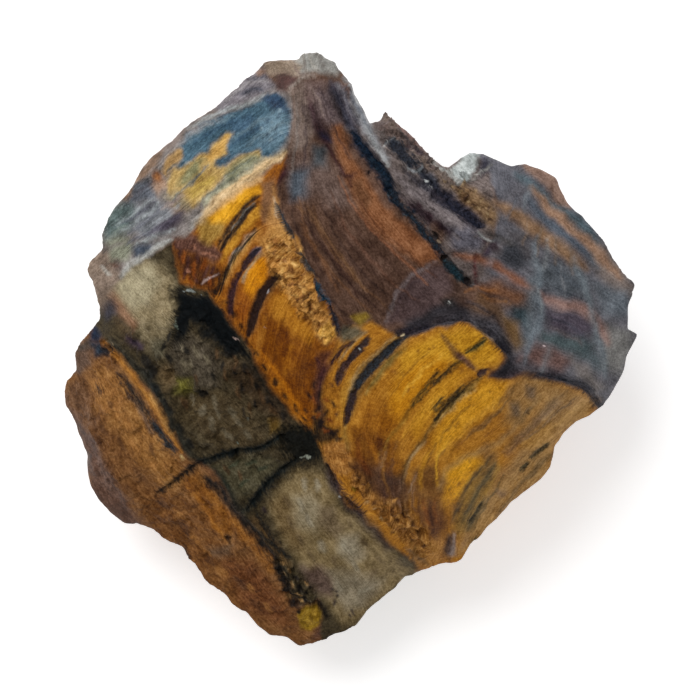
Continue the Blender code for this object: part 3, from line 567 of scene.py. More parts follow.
SLABS = [
    wash((106, 94, 90), 3, 1.0, SLAB_OUTLINE),
    wash((132, 130, 132), 5, 0.9, [
        (334, 62), (345, 80), (356, 100), (368, 122), (378, 142), (366, 132), (354, 112),
        (342, 90)]),
    wash((150, 152, 156), 3, 0.9, [
        (356, 100), (366, 118), (376, 140), (390, 160), (384, 162), (370, 142), (358, 120)]),
    wash((118, 108, 108), 6, 1.0, [
        (394, 172), (416, 180), (446, 206), (480, 232), (470, 248), (448, 232), (424, 210),
        (404, 194)]),
    wash((96, 94, 104), 6, 0.9, [(446, 228), (470, 226), (484, 238), (480, 250), (456, 250)]),
    wash((50, 38, 44), 4, 0.95, [
        (398, 194), (414, 202), (434, 216), (452, 230), (452, 238), (440, 234), (426, 224),
        (410, 212)]),
    wash((96, 72, 58), 3, 0.8, [(430, 222), (438, 222), (444, 236), (440, 248), (434, 242)]),
    wash((118, 102, 92), 5, 0.95, [
        (384, 112), (400, 122), (430, 154), (456, 178), (470, 192), (456, 196), (436, 184),
        (414, 156), (398, 140), (384, 130)]),
    wash((92, 74, 70), 5, 0.7, [(376, 124), (388, 122), (408, 140), (412, 150), (396, 140)]),
    wash((76, 78, 88), 4, 0.9, [(418, 168), (432, 172), (442, 188), (434, 196), (420, 184)]),
    wash((124, 96, 66), 5, 0.95, [
        (452, 188), (466, 184), (484, 196), (498, 214), (492, 228), (474, 214)]),
    wash((84, 58, 34), 4, 0.7, [(456, 190), (468, 194), (478, 206), (466, 206)]),
    wash((60, 52, 60), 4, 0.9, [
        (428, 182), (440, 186), (470, 208), (486, 226), (474, 230), (452, 212), (430, 196)]),
    wash((190, 196, 194), 2.5, 1.0, [
        (449, 170), (455, 165), (464, 156), (471, 152), (481, 154), (476, 164), (471, 174),
        (463, 184), (456, 179)]),
    wash((58, 56, 68), 4, 0.95, [(482, 157), (490, 160), (486, 172), (478, 176), (478, 166)]),
]
SLAB_MARKS = [
    pool((30, 36, 46), 0.2, [
        (387, 143), (392, 140), (399, 142), (407, 149), (414, 157), (417, 164), (411, 166),
        (402, 159), (393, 151)], 2.0),
    pool((32, 34, 46), 0.2, [
        (441, 193), (447, 193), (455, 200), (462, 208), (470, 214), (480, 222), (484, 227),
        (478, 229), (470, 223), (460, 216), (450, 208), (444, 200)], 2.0),
    blots((54, 36, 42), 0.8, [
        (419, 152, 5, 3, 50), (410, 146, 4, 2, 40), (430, 216, 7, 3, 45), (420, 206, 5, 2.4, 50),
        (440, 226, 6, 3, 45), (494, 246, 6, 4, 60), (484, 240, 4, 3, 60)]),
    blots((118, 108, 108), 0.7, [
        (448, 214, 6, 1.6, 45), (460, 226, 6, 1.6, 45), (430, 200, 6, 1.6, 45),
        (414, 190, 6, 1.4, 50), (474, 236, 5, 1.4, 40), (456, 236, 6, 1.6, 40)]),
    streak((176, 178, 176), 1.8, 1.2, 0.8, [(478, 232), (486, 238), (494, 242)]),
    streak((172, 168, 160), 1.6, 1.2, 0.75, [(440, 162), (450, 173), (459, 183)]),
    streak((70, 56, 52), 2, 1.4, 0.8, [(444, 168), (454, 180), (464, 190)]),
    streak((40, 44, 56), 7, 4, 0.9, [(420, 170), (430, 182), (442, 194)]),
    streak((54, 52, 60), 5, 3, 0.9, [(404, 168), (420, 184), (438, 200), (456, 216)]),
    streak((132, 138, 142), 2.4, 1.6, 0.9, [(408, 165), (414, 171), (420, 172), (421, 165)]),
    streak((180, 182, 178), 3, 2, 0.9, [(432, 158), (440, 166), (450, 175), (460, 184)]),
    streak((160, 158, 152), 2, 1.5, 0.8, [(469, 181), (480, 172), (492, 163)]),
    streak((206, 206, 204), 2, 1.5, 0.8, [(384, 146), (392, 140), (398, 142)]),
    streak((120, 118, 122), 4, 3, 0.8, [(338, 82), (348, 104), (362, 126)]),
    streak((70, 66, 74), 3, 2, 0.8, [(346, 84), (354, 100), (362, 116)]),
    streak((170, 174, 176), 2.4, 1.6, 0.85, [(346, 76), (354, 92), (363, 110), (370, 124)]),
    streak((104, 110, 120), 2.4, 1.6, 0.85, [(350, 92), (358, 108), (367, 126), (376, 142)]),
    streak((168, 170, 170), 2.4, 1.6, 0.85, [(366, 126), (373, 140), (381, 154), (390, 168)]),
    streak((92, 90, 100), 2.4, 1.6, 0.8, [(342, 92), (352, 112), (362, 130)]),
    streak((128, 100, 94), 5, 2, 0.9, [
        (390, 116), (402, 127), (418, 143), (432, 156), (446, 167)]),
    streak((112, 100, 98), 2.4, 1.6, 0.8, [(380, 124), (388, 122), (394, 118)]),
    streak((60, 50, 56), 3, 2, 0.85, [(398, 130), (410, 142), (424, 156), (436, 170)]),
    streak((48, 50, 62), 10, 4, 0.9, [
        (352, 130), (360, 146), (370, 158), (382, 172), (388, 186), (398, 200)]),
    ink((16, 30, 46), 5, 0.25, [(355, 134), (359, 142), (366, 151), (373, 158)], 2.2),
    ink((14, 30, 44), 7, 0.3, [(368, 156), (377, 165), (384, 174), (388, 184), (391, 192)], 2.0),
    ink((14, 32, 44), 5, 0.3, [(389, 188), (394, 197), (402, 206), (412, 217)], 1.6),
    ink((16, 36, 48), 4.5, 0.3, [
        (408, 212), (418, 224), (428, 236), (437, 247), (443, 257)], 1.6),
    blots((26, 34, 46), 0.9, [
        (372, 166, 4, 2.4, 60), (380, 164, 3, 2, 30), (392, 202, 4, 2, 50), (366, 146, 4, 2, 70),
        (376, 178, 3, 2, 60), (398, 194, 3, 1.8, 40), (414, 212, 3, 1.8, 50),
        (362, 156, 3, 1.6, 60), (384, 190, 3, 1.6, 60)]),
    # Painted highlights: grey-blue glints on the right side of the groove.
    blots((76, 96, 106), 0.85, [
        (378, 170, 3, 1.2, 60), (385, 182, 3, 1.2, 60), (396, 203, 3, 1.2, 50),
        (364, 150, 2.4, 1.2, 60), (406, 214, 3, 1.2, 45), (372, 160, 2.4, 1, 30),
        (420, 230, 3, 1.2, 50), (390, 196, 2.4, 1, 50)]),
    ink((20, 40, 48), 6, 0.25, [(443, 257), (450, 266), (456, 272), (463, 279), (471, 285)], 1.6),
    streak((46, 82, 88), 4, 2.5, 0.9, [(451, 264), (456, 271), (461, 279)]),
    ink((10, 12, 16), 5, 0.3, [(442, 256), (446, 260)], 1.2),
    ink((12, 10, 12), 4, 0.3, [(434, 232), (437, 238)], 1.4),
    ink((14, 14, 18), 5, 0.3, [(464, 279), (471, 285)], 1.2),
    painted_glint((150, 130, 108), 1.4, [(437, 240), (440, 242)]),
    painted_glint((220, 222, 222), 1.6, [(425, 180), (427, 182)]),
    painted_glint((160, 160, 160), 1.6, [(428, 186), (433, 189)]),
    blots((160, 134, 98), 0.75, [
        (452, 186, 2, 1.2, 40), (460, 192, 2.4, 1.2, 120), (470, 200, 2, 1.2, 30),
        (464, 184, 3, 1.2, 130), (478, 208, 2.4, 1.2, 60), (474, 192, 2.4, 1, 130),
        (486, 214, 2.4, 1, 60), (446, 180, 2, 1, 20), (482, 200, 2.4, 1, 130)]),
    blots((64, 44, 34), 0.85, [
        (458, 188, 3, 1.4, 40), (466, 196, 3, 1.4, 120), (474, 204, 3, 1.4, 30),
        (480, 214, 3, 1.4, 60), (468, 190, 2.4, 1.2, 20), (488, 208, 2.4, 1.2, 110),
        (452, 180, 2.4, 1.2, 20), (490, 220, 3, 1.4, 40)]),
    hackle(0.25, 1.1, 0.4, 5, [
        (372, 118), (388, 112), (430, 154), (470, 190), (496, 212), (486, 232), (440, 206),
        (400, 168), (382, 146)]),
    hackle(0.3, 1.6, 0.3, 5, [(446, 172), (470, 150), (490, 158), (480, 180), (462, 186)]),
]

SLATE = [
    wash((98, 96, 102), 3, 1.0, SLATE_OUTLINE),
    wash((104, 104, 112), 6, 0.9, [(482, 158), (512, 164), (516, 186), (500, 196), (486, 184)]),
    wash((134, 120, 112), 6, 0.9, [
        (582, 232), (598, 242), (618, 262), (636, 288), (630, 298), (612, 292), (598, 274),
        (586, 256)]),
    # This wash and the next are partly painted sheen: a grey haze of light over the slate's right
    # side, on top of its own colour.
    wash((112, 120, 128), 8, 0.9, [(596, 284), (628, 292), (632, 316), (604, 314)]),
    wash((130, 128, 124), 8, 0.85, [(602, 326), (632, 330), (634, 346), (622, 376), (604, 366)]),
    wash((72, 68, 70), 6, 0.95, [(506, 230), (530, 234), (532, 258), (520, 262), (514, 250)]),
    wash((60, 62, 68), 6, 0.95, [(500, 242), (516, 244), (530, 264), (518, 270), (500, 256)]),
    wash((78, 84, 90), 8, 0.9, [
        (532, 262), (560, 262), (584, 280), (590, 296), (560, 296), (536, 282)]),
    wash((60, 44, 58), 4, 0.9, [(476, 242), (488, 242), (494, 254), (480, 256)]),
    wash((112, 74, 50), 8, 0.95, [
        (478, 280), (500, 280), (530, 296), (526, 312), (500, 306), (474, 304)]),
    wash((92, 66, 44), 8, 0.9, [(450, 292), (474, 288), (504, 306), (500, 322), (470, 314)]),
    wash((44, 62, 68), 6, 0.9, [(510, 304), (526, 306), (530, 326), (514, 322)]),
    wash((114, 84, 46), 6, 0.9, [(500, 314), (516, 322), (526, 346), (514, 350), (504, 334)]),
    wash((78, 68, 80), 8, 0.9, [(548, 310), (584, 310), (596, 330), (580, 340), (550, 332)]),
    wash((70, 86, 88), 8, 0.9, [
        (540, 330), (570, 336), (594, 344), (588, 358), (560, 350), (540, 342)]),
    wash((114, 84, 76), 7, 0.9, [
        (528, 344), (556, 350), (572, 360), (562, 372), (540, 366), (516, 362)]),
    wash((78, 94, 98), 7, 0.7, [(584, 344), (600, 356), (604, 372), (590, 366)]),
    wash((112, 104, 100), 6, 0.9, [(570, 356), (588, 366), (604, 388), (596, 394), (578, 378)]),
]
SLATE_MARKS = [
    streak((150, 120, 104), 14, 4, 0.95, [
        (524, 164), (540, 172), (552, 182), (560, 196), (569, 208)]),
    streak((108, 84, 74), 3, 2, 0.7, [(534, 170), (546, 180), (556, 194)]),
    streak((80, 98, 106), 9, 5, 0.95, [
        (516, 174), (530, 184), (542, 196), (560, 211), (582, 225), (598, 242)]),
    streak((154, 120, 96), 10, 4, 1.0, [
        (530, 188), (542, 201), (554, 213), (565, 223), (578, 235), (592, 246), (606, 262),
        (620, 278)]),
    streak((76, 86, 98), 8, 5, 0.95, [
        (526, 198), (536, 210), (548, 221), (562, 233), (580, 248), (598, 268)]),
    streak((144, 112, 84), 13, 5, 1.0, [
        (494, 202), (510, 211), (524, 221), (542, 235), (556, 245), (570, 256), (586, 270)]),
    streak((78, 82, 88), 7, 5, 0.8, [(568, 264), (590, 282), (608, 300)]),
    streak((70, 66, 64), 6, 4, 0.85, [(484, 234), (500, 238), (514, 246)]),
    streak((140, 90, 64), 8, 4, 0.9, [
        (454, 255), (466, 257), (480, 260), (494, 264), (506, 272), (518, 281), (530, 287),
        (542, 295)]),
    streak((156, 120, 108), 9, 5, 0.9, [
        (538, 294), (548, 301), (562, 304), (580, 307), (592, 316), (602, 330), (608, 344)]),
    streak((80, 32, 34), 3, 2, 0.95, [(476, 256), (475, 270), (477, 284)]),
    streak((44, 40, 44), 4, 3, 0.7, [(480, 292), (494, 294), (508, 302)]),
    streak((150, 96, 52), 3, 2, 0.7, [(464, 292), (480, 288), (498, 292)]),
    streak((50, 46, 50), 10, 6, 0.7, [
        (396, 334), (413, 327), (433, 320), (455, 316), (472, 315), (485, 324), (498, 336),
        (507, 351), (509, 363), (500, 373), (508, 371), (522, 367), (540, 374), (554, 376),
        (569, 380), (582, 387), (593, 399), (602, 406)]),
    ink((26, 24, 32), 4, 0.3, [(398, 336), (410, 332), (422, 328), (433, 325)], 2.4),
    ink((34, 30, 34), 2.2, 0.3, [(436, 323), (446, 320), (458, 319), (470, 320)], 2.4),
    ink((28, 26, 32), 3.4, 0.3, [(480, 326), (490, 333), (498, 341), (505, 351)], 2.4),
    streak((34, 32, 38), 9, 5, 0.85, [
        (500, 342), (508, 352), (511, 362), (506, 370), (498, 374)]),
    ink((34, 36, 44), 3, 0.3, [
        (538, 374), (552, 377), (568, 381), (584, 388), (594, 399), (602, 408)], 2.2),
    # The seven pale grey streaks from here on are painted reflection: bands of light reflected on
    # the ripples of the slate's glassy surface.
    streak((122, 130, 136), 5, 3, 0.75, [
        (536, 236), (534, 246), (535, 256), (537, 266), (540, 276)]),
    streak((132, 136, 138), 4, 3, 0.75, [(547, 238), (547, 258), (542, 270)]),
    streak((120, 130, 138), 7, 4, 0.8, [
        (540, 270), (539, 282), (537, 292), (540, 302), (541, 314), (537, 326), (531, 338),
        (527, 351), (525, 363)]),
    streak((98, 110, 116), 12, 8, 0.6, [(534, 276), (532, 300), (530, 322), (524, 344)]),
    streak((152, 156, 158), 2, 2, 0.7, [(537, 290), (541, 302), (541, 314)]),
    streak((118, 128, 134), 6, 4, 0.75, [
        (574, 256), (576, 266), (581, 279), (586, 293), (592, 311), (595, 329), (599, 345),
        (604, 360), (607, 378)]),
    streak((112, 118, 122), 5, 5, 0.6, [(549, 350), (545, 362), (541, 374)]),
    streak((128, 134, 140), 3, 2.5, 0.8, [(530, 188), (526, 198), (523, 210)]),
    streak((124, 116, 118), 5, 4, 0.75, [(503, 242), (495, 254), (488, 268), (484, 280)]),
    streak((126, 112, 98), 2, 1.6, 0.7, [(540, 228), (538, 244), (537, 258)]),
    streak((128, 108, 92), 2, 1.6, 0.7, [(528, 216), (526, 232), (524, 246)]),
    streak((124, 110, 98), 2, 1.6, 0.7, [(556, 236), (556, 252), (554, 266)]),
    streak((122, 110, 100), 2, 1.6, 0.6, [(570, 246), (572, 262), (574, 276)]),
    streak((92, 96, 104), 2, 1.6, 0.7, [(516, 196), (512, 210), (506, 224)]),
    streak((124, 126, 130), 2, 1.6, 0.7, [(560, 262), (562, 280), (566, 298)]),
    streak((72, 78, 86), 3, 2, 0.7, [(548, 262), (564, 276), (580, 290)]),
    streak((62, 66, 74), 3, 2, 0.7, [(556, 288), (570, 294), (584, 300)]),
    streak((60, 60, 72), 3, 2, 0.7, [(546, 316), (562, 322), (580, 332), (590, 344)]),
    streak((100, 88, 88), 3, 2, 0.7, [(550, 326), (566, 334), (584, 346)]),
    streak((88, 66, 52), 3, 2, 0.8, [(470, 306), (486, 312), (500, 324), (512, 340)]),
    streak((130, 88, 50), 2.4, 1.6, 0.8, [(482, 296), (498, 300), (512, 306)]),
    streak((52, 50, 56), 3, 2, 0.8, [(462, 300), (480, 306), (494, 318), (504, 334)]),
    painted_glint((220, 200, 200), 2, [(544, 345), (544, 347)]),
    painted_glint((200, 200, 196), 2, [(448, 301), (450, 303)]),
]

GOLD_BAND = [
    wash((150, 88, 20), 2.5, 1.0, GOLD_BAND_OUTLINE),
    wash((96, 64, 54), 4, 0.95, [
        (172, 240), (190, 234), (212, 240), (222, 256), (214, 264), (196, 254), (178, 250)]),
    wash((78, 42, 18), 5, 0.95, [
        (174, 250), (196, 254), (214, 264), (222, 272), (214, 290), (198, 286), (180, 274)]),
    wash((168, 130, 60), 4, 0.95, [
        (196, 224), (210, 212), (226, 220), (222, 236), (208, 246), (199, 238)]),
    # Partly painted sheen: the stone's own gold, brightened near the ridge. The pale cream wash
    # after it is painted highlight along the ridge.
    wash((236, 168, 38), 4, 1.0, [
        (208, 214), (224, 200), (240, 188), (258, 184), (262, 192), (248, 201), (238, 210),
        (228, 222), (212, 224)]),
    wash((214, 172, 118), 2.5, 0.95, [
        (204, 216), (216, 203), (232, 191), (246, 182), (262, 175), (262, 182), (244, 190),
        (228, 201), (212, 215)]),
    wash((198, 140, 44), 3, 0.95, [
        (254, 208), (262, 206), (262, 216), (246, 230), (232, 250), (222, 262), (224, 248),
        (238, 226)]),
    wash((188, 130, 60), 3, 0.95, [
        (262, 228), (256, 240), (244, 254), (234, 270), (226, 286), (222, 284), (232, 262),
        (246, 240), (256, 228)]),
    wash((126, 88, 58), 3, 0.95, [
        (262, 184), (274, 176), (277, 192), (274, 214), (264, 226), (260, 208)]),
    wash((190, 140, 80), 4, 0.95, [
        (274, 188), (280, 216), (290, 236), (298, 246), (290, 252), (276, 240), (268, 224)]),
    wash((192, 138, 70), 4, 0.95, [
        (258, 236), (272, 226), (286, 230), (298, 240), (302, 256), (314, 279), (320, 302),
        (330, 316), (336, 336), (324, 344), (312, 330), (296, 308), (281, 291), (268, 272),
        (260, 254)]),
    wash((146, 92, 42), 3, 0.9, [(270, 238), (280, 239), (284, 246), (276, 249)]),
    wash((232, 176, 84), 2, 0.95, [(316, 328), (330, 320), (336, 335), (325, 343)]),
    wash((212, 134, 14), 4, 1.0, [
        (247, 270), (256, 258), (264, 260), (267, 268), (262, 282), (252, 296), (246, 290)]),
    wash((150, 82, 18), 4, 0.9, [(238, 284), (248, 292), (250, 306), (244, 322), (236, 318)]),
    wash((178, 116, 30), 6, 0.9, [
        (272, 296), (284, 292), (302, 314), (316, 332), (310, 348), (288, 330), (272, 318)]),
    wash((118, 62, 4), 7, 0.95, [
        (256, 320), (268, 314), (286, 326), (300, 346), (296, 364), (276, 366), (260, 348)]),
    wash((122, 66, 8), 7, 0.95, [
        (276, 362), (310, 346), (322, 366), (316, 400), (310, 424), (296, 408), (282, 388)]),
    wash((158, 92, 12), 4, 0.9, [
        (270, 372), (280, 384), (296, 406), (310, 426), (306, 430), (290, 412), (276, 394),
        (266, 378)]),
    wash((84, 46, 34), 4, 0.85, [
        (318, 352), (332, 350), (326, 376), (320, 404), (312, 396), (314, 372)]),
]
GOLD_BAND_MARKS = [
    hackle(0.36, 1.1, 0.85, 3, [
        (262, 242), (274, 232), (290, 236), (302, 256), (316, 282), (324, 306), (336, 336),
        (324, 344), (308, 326), (292, 306), (276, 290), (266, 268)]),
    blots((70, 40, 36), 0.85, [
        (180, 252, 6, 2, 100), (188, 264, 8, 2, 100), (198, 258, 6, 2, 95), (184, 274, 6, 2, 110),
        (206, 272, 8, 2, 100), (196, 280, 6, 2, 80), (212, 270, 6, 1.6, 100),
        (176, 246, 5, 2, 30)]),
    blots((140, 72, 20), 0.8, [
        (184, 258, 7, 1.8, 100), (194, 270, 8, 2, 95), (203, 264, 7, 2, 100),
        (190, 282, 6, 2, 60), (211, 281, 6, 2, 100)]),
    blots((176, 122, 96), 0.8, [
        (188, 272, 3, 2, 20), (208, 254, 8, 1.4, 20), (196, 246, 6, 1.2, 30)]),
    blots((120, 74, 38), 0.85, [
        (284, 262, 4, 1.8, 40), (276, 252, 3, 1.6, 120), (292, 270, 4, 1.6, 60),
        (298, 284, 4, 1.6, 30), (304, 274, 3, 1.4, 130), (290, 286, 4, 1.6, 20),
        (300, 298, 5, 1.4, 120), (310, 306, 4, 1.6, 40), (306, 318, 4, 1.6, 50),
        (316, 312, 3, 1.4, 20), (318, 326, 4, 1.4, 110), (286, 246, 3, 1.4, 60),
        (278, 274, 4, 1.4, 40), (294, 260, 3, 1.2, 140)]),
    blots((232, 182, 104), 0.8, [
        (280, 258, 3, 1.6, 30), (288, 252, 3, 1.4, 120), (296, 266, 4, 1.6, 50),
        (290, 276, 3, 1.6, 10), (302, 290, 4, 1.4, 60), (308, 296, 3, 1.4, 120),
        (296, 296, 3, 1.4, 30), (312, 318, 3, 1.4, 60), (284, 270, 3, 1.4, 100),
        (270, 246, 3, 1.4, 40), (300, 250, 2.6, 1.4, 70)]),
    streak((92, 78, 52), 8, 3, 0.6, [(256, 203), (246, 210), (238, 220), (229, 233), (220, 248)]),
    ink((34, 28, 26), 2.4, 0.12, [
        (259, 195), (248, 203), (241, 212), (233, 222), (226, 233), (217, 248)]),
    # Partly painted glint: a pale grey line with a painted highlight on it.
    streak((150, 150, 142), 2, 1.2, 0.9, [(254, 203), (247, 209), (240, 219), (232, 230)]),
    ink((28, 24, 24), 3, 0.14, [
        (255, 206), (249, 210), (243, 219), (236, 229), (228, 239), (221, 250)]),
    streak((96, 84, 44), 5, 2.5, 0.6, [
        (252, 234), (245, 243), (237, 253), (230, 266), (223, 280)]),
    ink((38, 34, 24), 2.4, 0.12, [(256, 230), (247, 242), (238, 251), (231, 262), (226, 272)]),
    ink((24, 20, 18), 4, 0.16, [(228, 266), (224, 276), (221, 284), (219, 294)]),
    streak((196, 160, 132), 2.6, 1.4, 0.9, [
        (254, 230), (248, 238), (241, 246), (233, 256), (228, 268)]),
    # Painted glint.
    streak((198, 196, 188), 2, 1.2, 0.9, [(240, 246), (236, 250), (232, 255)]),
    streak((150, 136, 108), 3, 1.5, 0.8, [(260, 254), (254, 262), (247, 272), (243, 282)]),
    streak((86, 88, 106), 7, 2, 0.85, [(261, 247), (256, 251), (251, 257)]),
    ink((32, 25, 34), 6.5, 0.2, [(258, 250), (253, 254), (247, 262), (241, 271)]),
    ink((42, 24, 30), 5, 0.14, [(241, 272), (236, 280), (233, 290), (231, 302), (230, 314)]),
    streak((84, 48, 34), 8, 3, 0.6, [(238, 278), (233, 292), (231, 308), (232, 322)]),
    streak((110, 74, 40), 12, 3, 0.55, [(276, 280), (262, 298), (254, 318), (250, 336)]),
    ink((20, 14, 18), 7.5, 0.24, [
        (276, 276), (270, 282), (262, 294), (256, 308), (252, 322), (248, 336)]),
    streak((96, 70, 40), 5, 2, 0.7, [(283, 274), (276, 283), (270, 292)]),
    painted_glint((190, 186, 190), 1.4, [(268, 291), (266, 294)]),
    ink((34, 40, 46), 5, 0.3, [(275, 204), (281, 216), (287, 228), (293, 238)]),
    ink((44, 50, 54), 4, 0.3, [(300, 253), (304, 262), (309, 269), (314, 275)]),
    ink((14, 52, 70), 6, 0.35, [(314, 278), (318, 287), (322, 295), (327, 301), (331, 306)]),
    ink((30, 34, 44), 4.5, 0.3, [(330, 306), (333, 315), (336, 325), (338, 334)]),
    ink((60, 34, 16), 3, 0.25, [(309, 294), (305, 298), (302, 301)]),
    streak((166, 108, 34), 4, 3, 0.5, [(268, 316), (262, 332), (258, 350)]),
    streak((108, 60, 14), 4, 3, 0.6, [(286, 318), (278, 340), (274, 362)]),
    streak((160, 96, 16), 4, 3, 0.6, [(300, 330), (290, 352), (286, 376)]),
    streak((100, 54, 14), 4, 3, 0.6, [(312, 346), (304, 366), (300, 390)]),
    streak((192, 114, 14), 4, 2.5, 0.75, [
        (262, 352), (274, 370), (288, 390), (302, 412), (309, 424)]),
    blots((12, 12, 12), 0.9, [
        (226, 302, 4, 1.8, 50), (234, 314, 5, 2, 60), (241, 328, 5, 2, 70),
        (247, 341, 4, 1.8, 60), (256, 354, 5, 2, 50), (264, 367, 4, 1.8, 60),
        (275, 382, 5, 2, 60), (286, 396, 4, 2, 50), (296, 409, 5, 2, 60), (304, 420, 4, 2, 60),
        (216, 292, 4, 1.8, 40)]),
    painted_glint((222, 190, 170), 1.8, [(264, 326), (266, 328)]),
    # Painted highlight: a pale line along the edge of the gold layer.
    streak((200, 176, 168), 1.6, 1.2, 0.8, [(202, 284), (207, 280), (213, 278), (219, 274)]),
    painted_glint((150, 158, 154), 2.2, [(184, 291), (190, 290), (195, 293)]),
    painted_glint((168, 172, 166), 1.6, [(200, 293), (204, 296)]),
    painted_glint((186, 160, 150), 1.8, [(232, 338), (237, 340), (241, 342)]),
    streak((196, 176, 150), 2, 1.4, 0.7, [(273, 196), (275, 208), (277, 218)]),
]

QUARTZ = [
    wash((64, 54, 36), 3, 1.0, QUARTZ_OUTLINE),
    wash((144, 128, 96), 6, 1.0, [
        (107, 291), (116, 279), (143, 260), (162, 264), (176, 285), (178, 306), (172, 328),
        (156, 334), (137, 326), (120, 306)]),
    wash((180, 168, 136), 7, 0.95, [
        (114, 284), (130, 270), (152, 264), (160, 280), (152, 300), (136, 310), (122, 300)]),
    wash((124, 110, 82), 7, 0.95, [
        (136, 322), (156, 318), (172, 326), (166, 348), (154, 350), (142, 338)]),
    wash((92, 86, 68), 5, 0.9, [(150, 340), (166, 338), (164, 356), (154, 358)]),
    wash((134, 96, 70), 4, 0.85, [
        (106, 290), (114, 290), (126, 306), (138, 324), (134, 332), (120, 316), (108, 302)]),
    wash((56, 54, 64), 4, 0.9, [(100, 300), (112, 298), (117, 314), (106, 320)]),
    wash((86, 68, 44), 5, 0.8, [(114, 318), (124, 322), (136, 338), (130, 342), (118, 330)]),
    wash((76, 67, 54), 8, 0.9, [
        (166, 342), (190, 334), (212, 346), (222, 368), (218, 388), (196, 386), (176, 372)]),
    wash((100, 80, 52), 6, 0.85, [(158, 368), (172, 366), (176, 384), (164, 388)]),
    wash((104, 98, 36), 6, 0.85, [(176, 380), (190, 378), (194, 394), (184, 398), (176, 392)]),
    wash((80, 66, 42), 8, 0.9, [
        (176, 396), (214, 390), (236, 404), (240, 424), (212, 432), (186, 420)]),
    wash((82, 68, 46), 8, 0.9, [
        (206, 394), (232, 396), (256, 414), (268, 440), (244, 448), (216, 448), (200, 430),
        (198, 408)]),
    wash((116, 88, 36), 4, 0.8, [(268, 419), (278, 418), (280, 431), (270, 433)]),
    wash((70, 54, 36), 7, 0.9, [
        (222, 358), (246, 366), (268, 384), (286, 408), (290, 424), (272, 418), (250, 400),
        (232, 380)]),
    wash((76, 70, 50), 6, 0.9, [
        (214, 464), (250, 456), (282, 462), (266, 482), (248, 498), (232, 494), (220, 480)]),
    wash((130, 110, 74), 7, 1.0, [
        (276, 490), (300, 468), (324, 472), (340, 504), (380, 540), (414, 572), (362, 620),
        (342, 624), (322, 592), (304, 566), (282, 536), (270, 508)]),
    wash((112, 90, 56), 6, 0.85, [
        (270, 504), (286, 494), (298, 520), (304, 552), (292, 548), (280, 528)]),
    wash((148, 134, 106), 8, 0.9, [(292, 498), (312, 492), (322, 512), (316, 532), (298, 526)]),
    wash((156, 144, 120), 7, 0.9, [(340, 536), (358, 536), (364, 556), (350, 564), (338, 554)]),
    wash((138, 126, 104), 8, 0.85, [
        (326, 572), (356, 572), (384, 580), (366, 606), (346, 612), (332, 592)]),
    wash((112, 94, 70), 6, 0.8, [(318, 508), (332, 506), (344, 528), (336, 540), (322, 530)]),
    wash((92, 72, 64), 6, 0.9, [
        (302, 566), (322, 566), (334, 584), (332, 598), (318, 592), (306, 580)]),
    wash((84, 62, 34), 4, 0.95, [
        (250, 520), (258, 516), (268, 530), (284, 550), (292, 566), (282, 562), (266, 542)]),
    wash((72, 60, 56), 5, 0.85, [(324, 470), (338, 470), (346, 486), (342, 498), (330, 488)]),
    wash((72, 58, 50), 5, 0.85, [
        (342, 496), (356, 498), (372, 516), (396, 546), (386, 550), (366, 528), (348, 510)]),
    wash((66, 66, 60), 4, 0.85, [(396, 544), (410, 548), (430, 562), (422, 568), (404, 556)]),
]
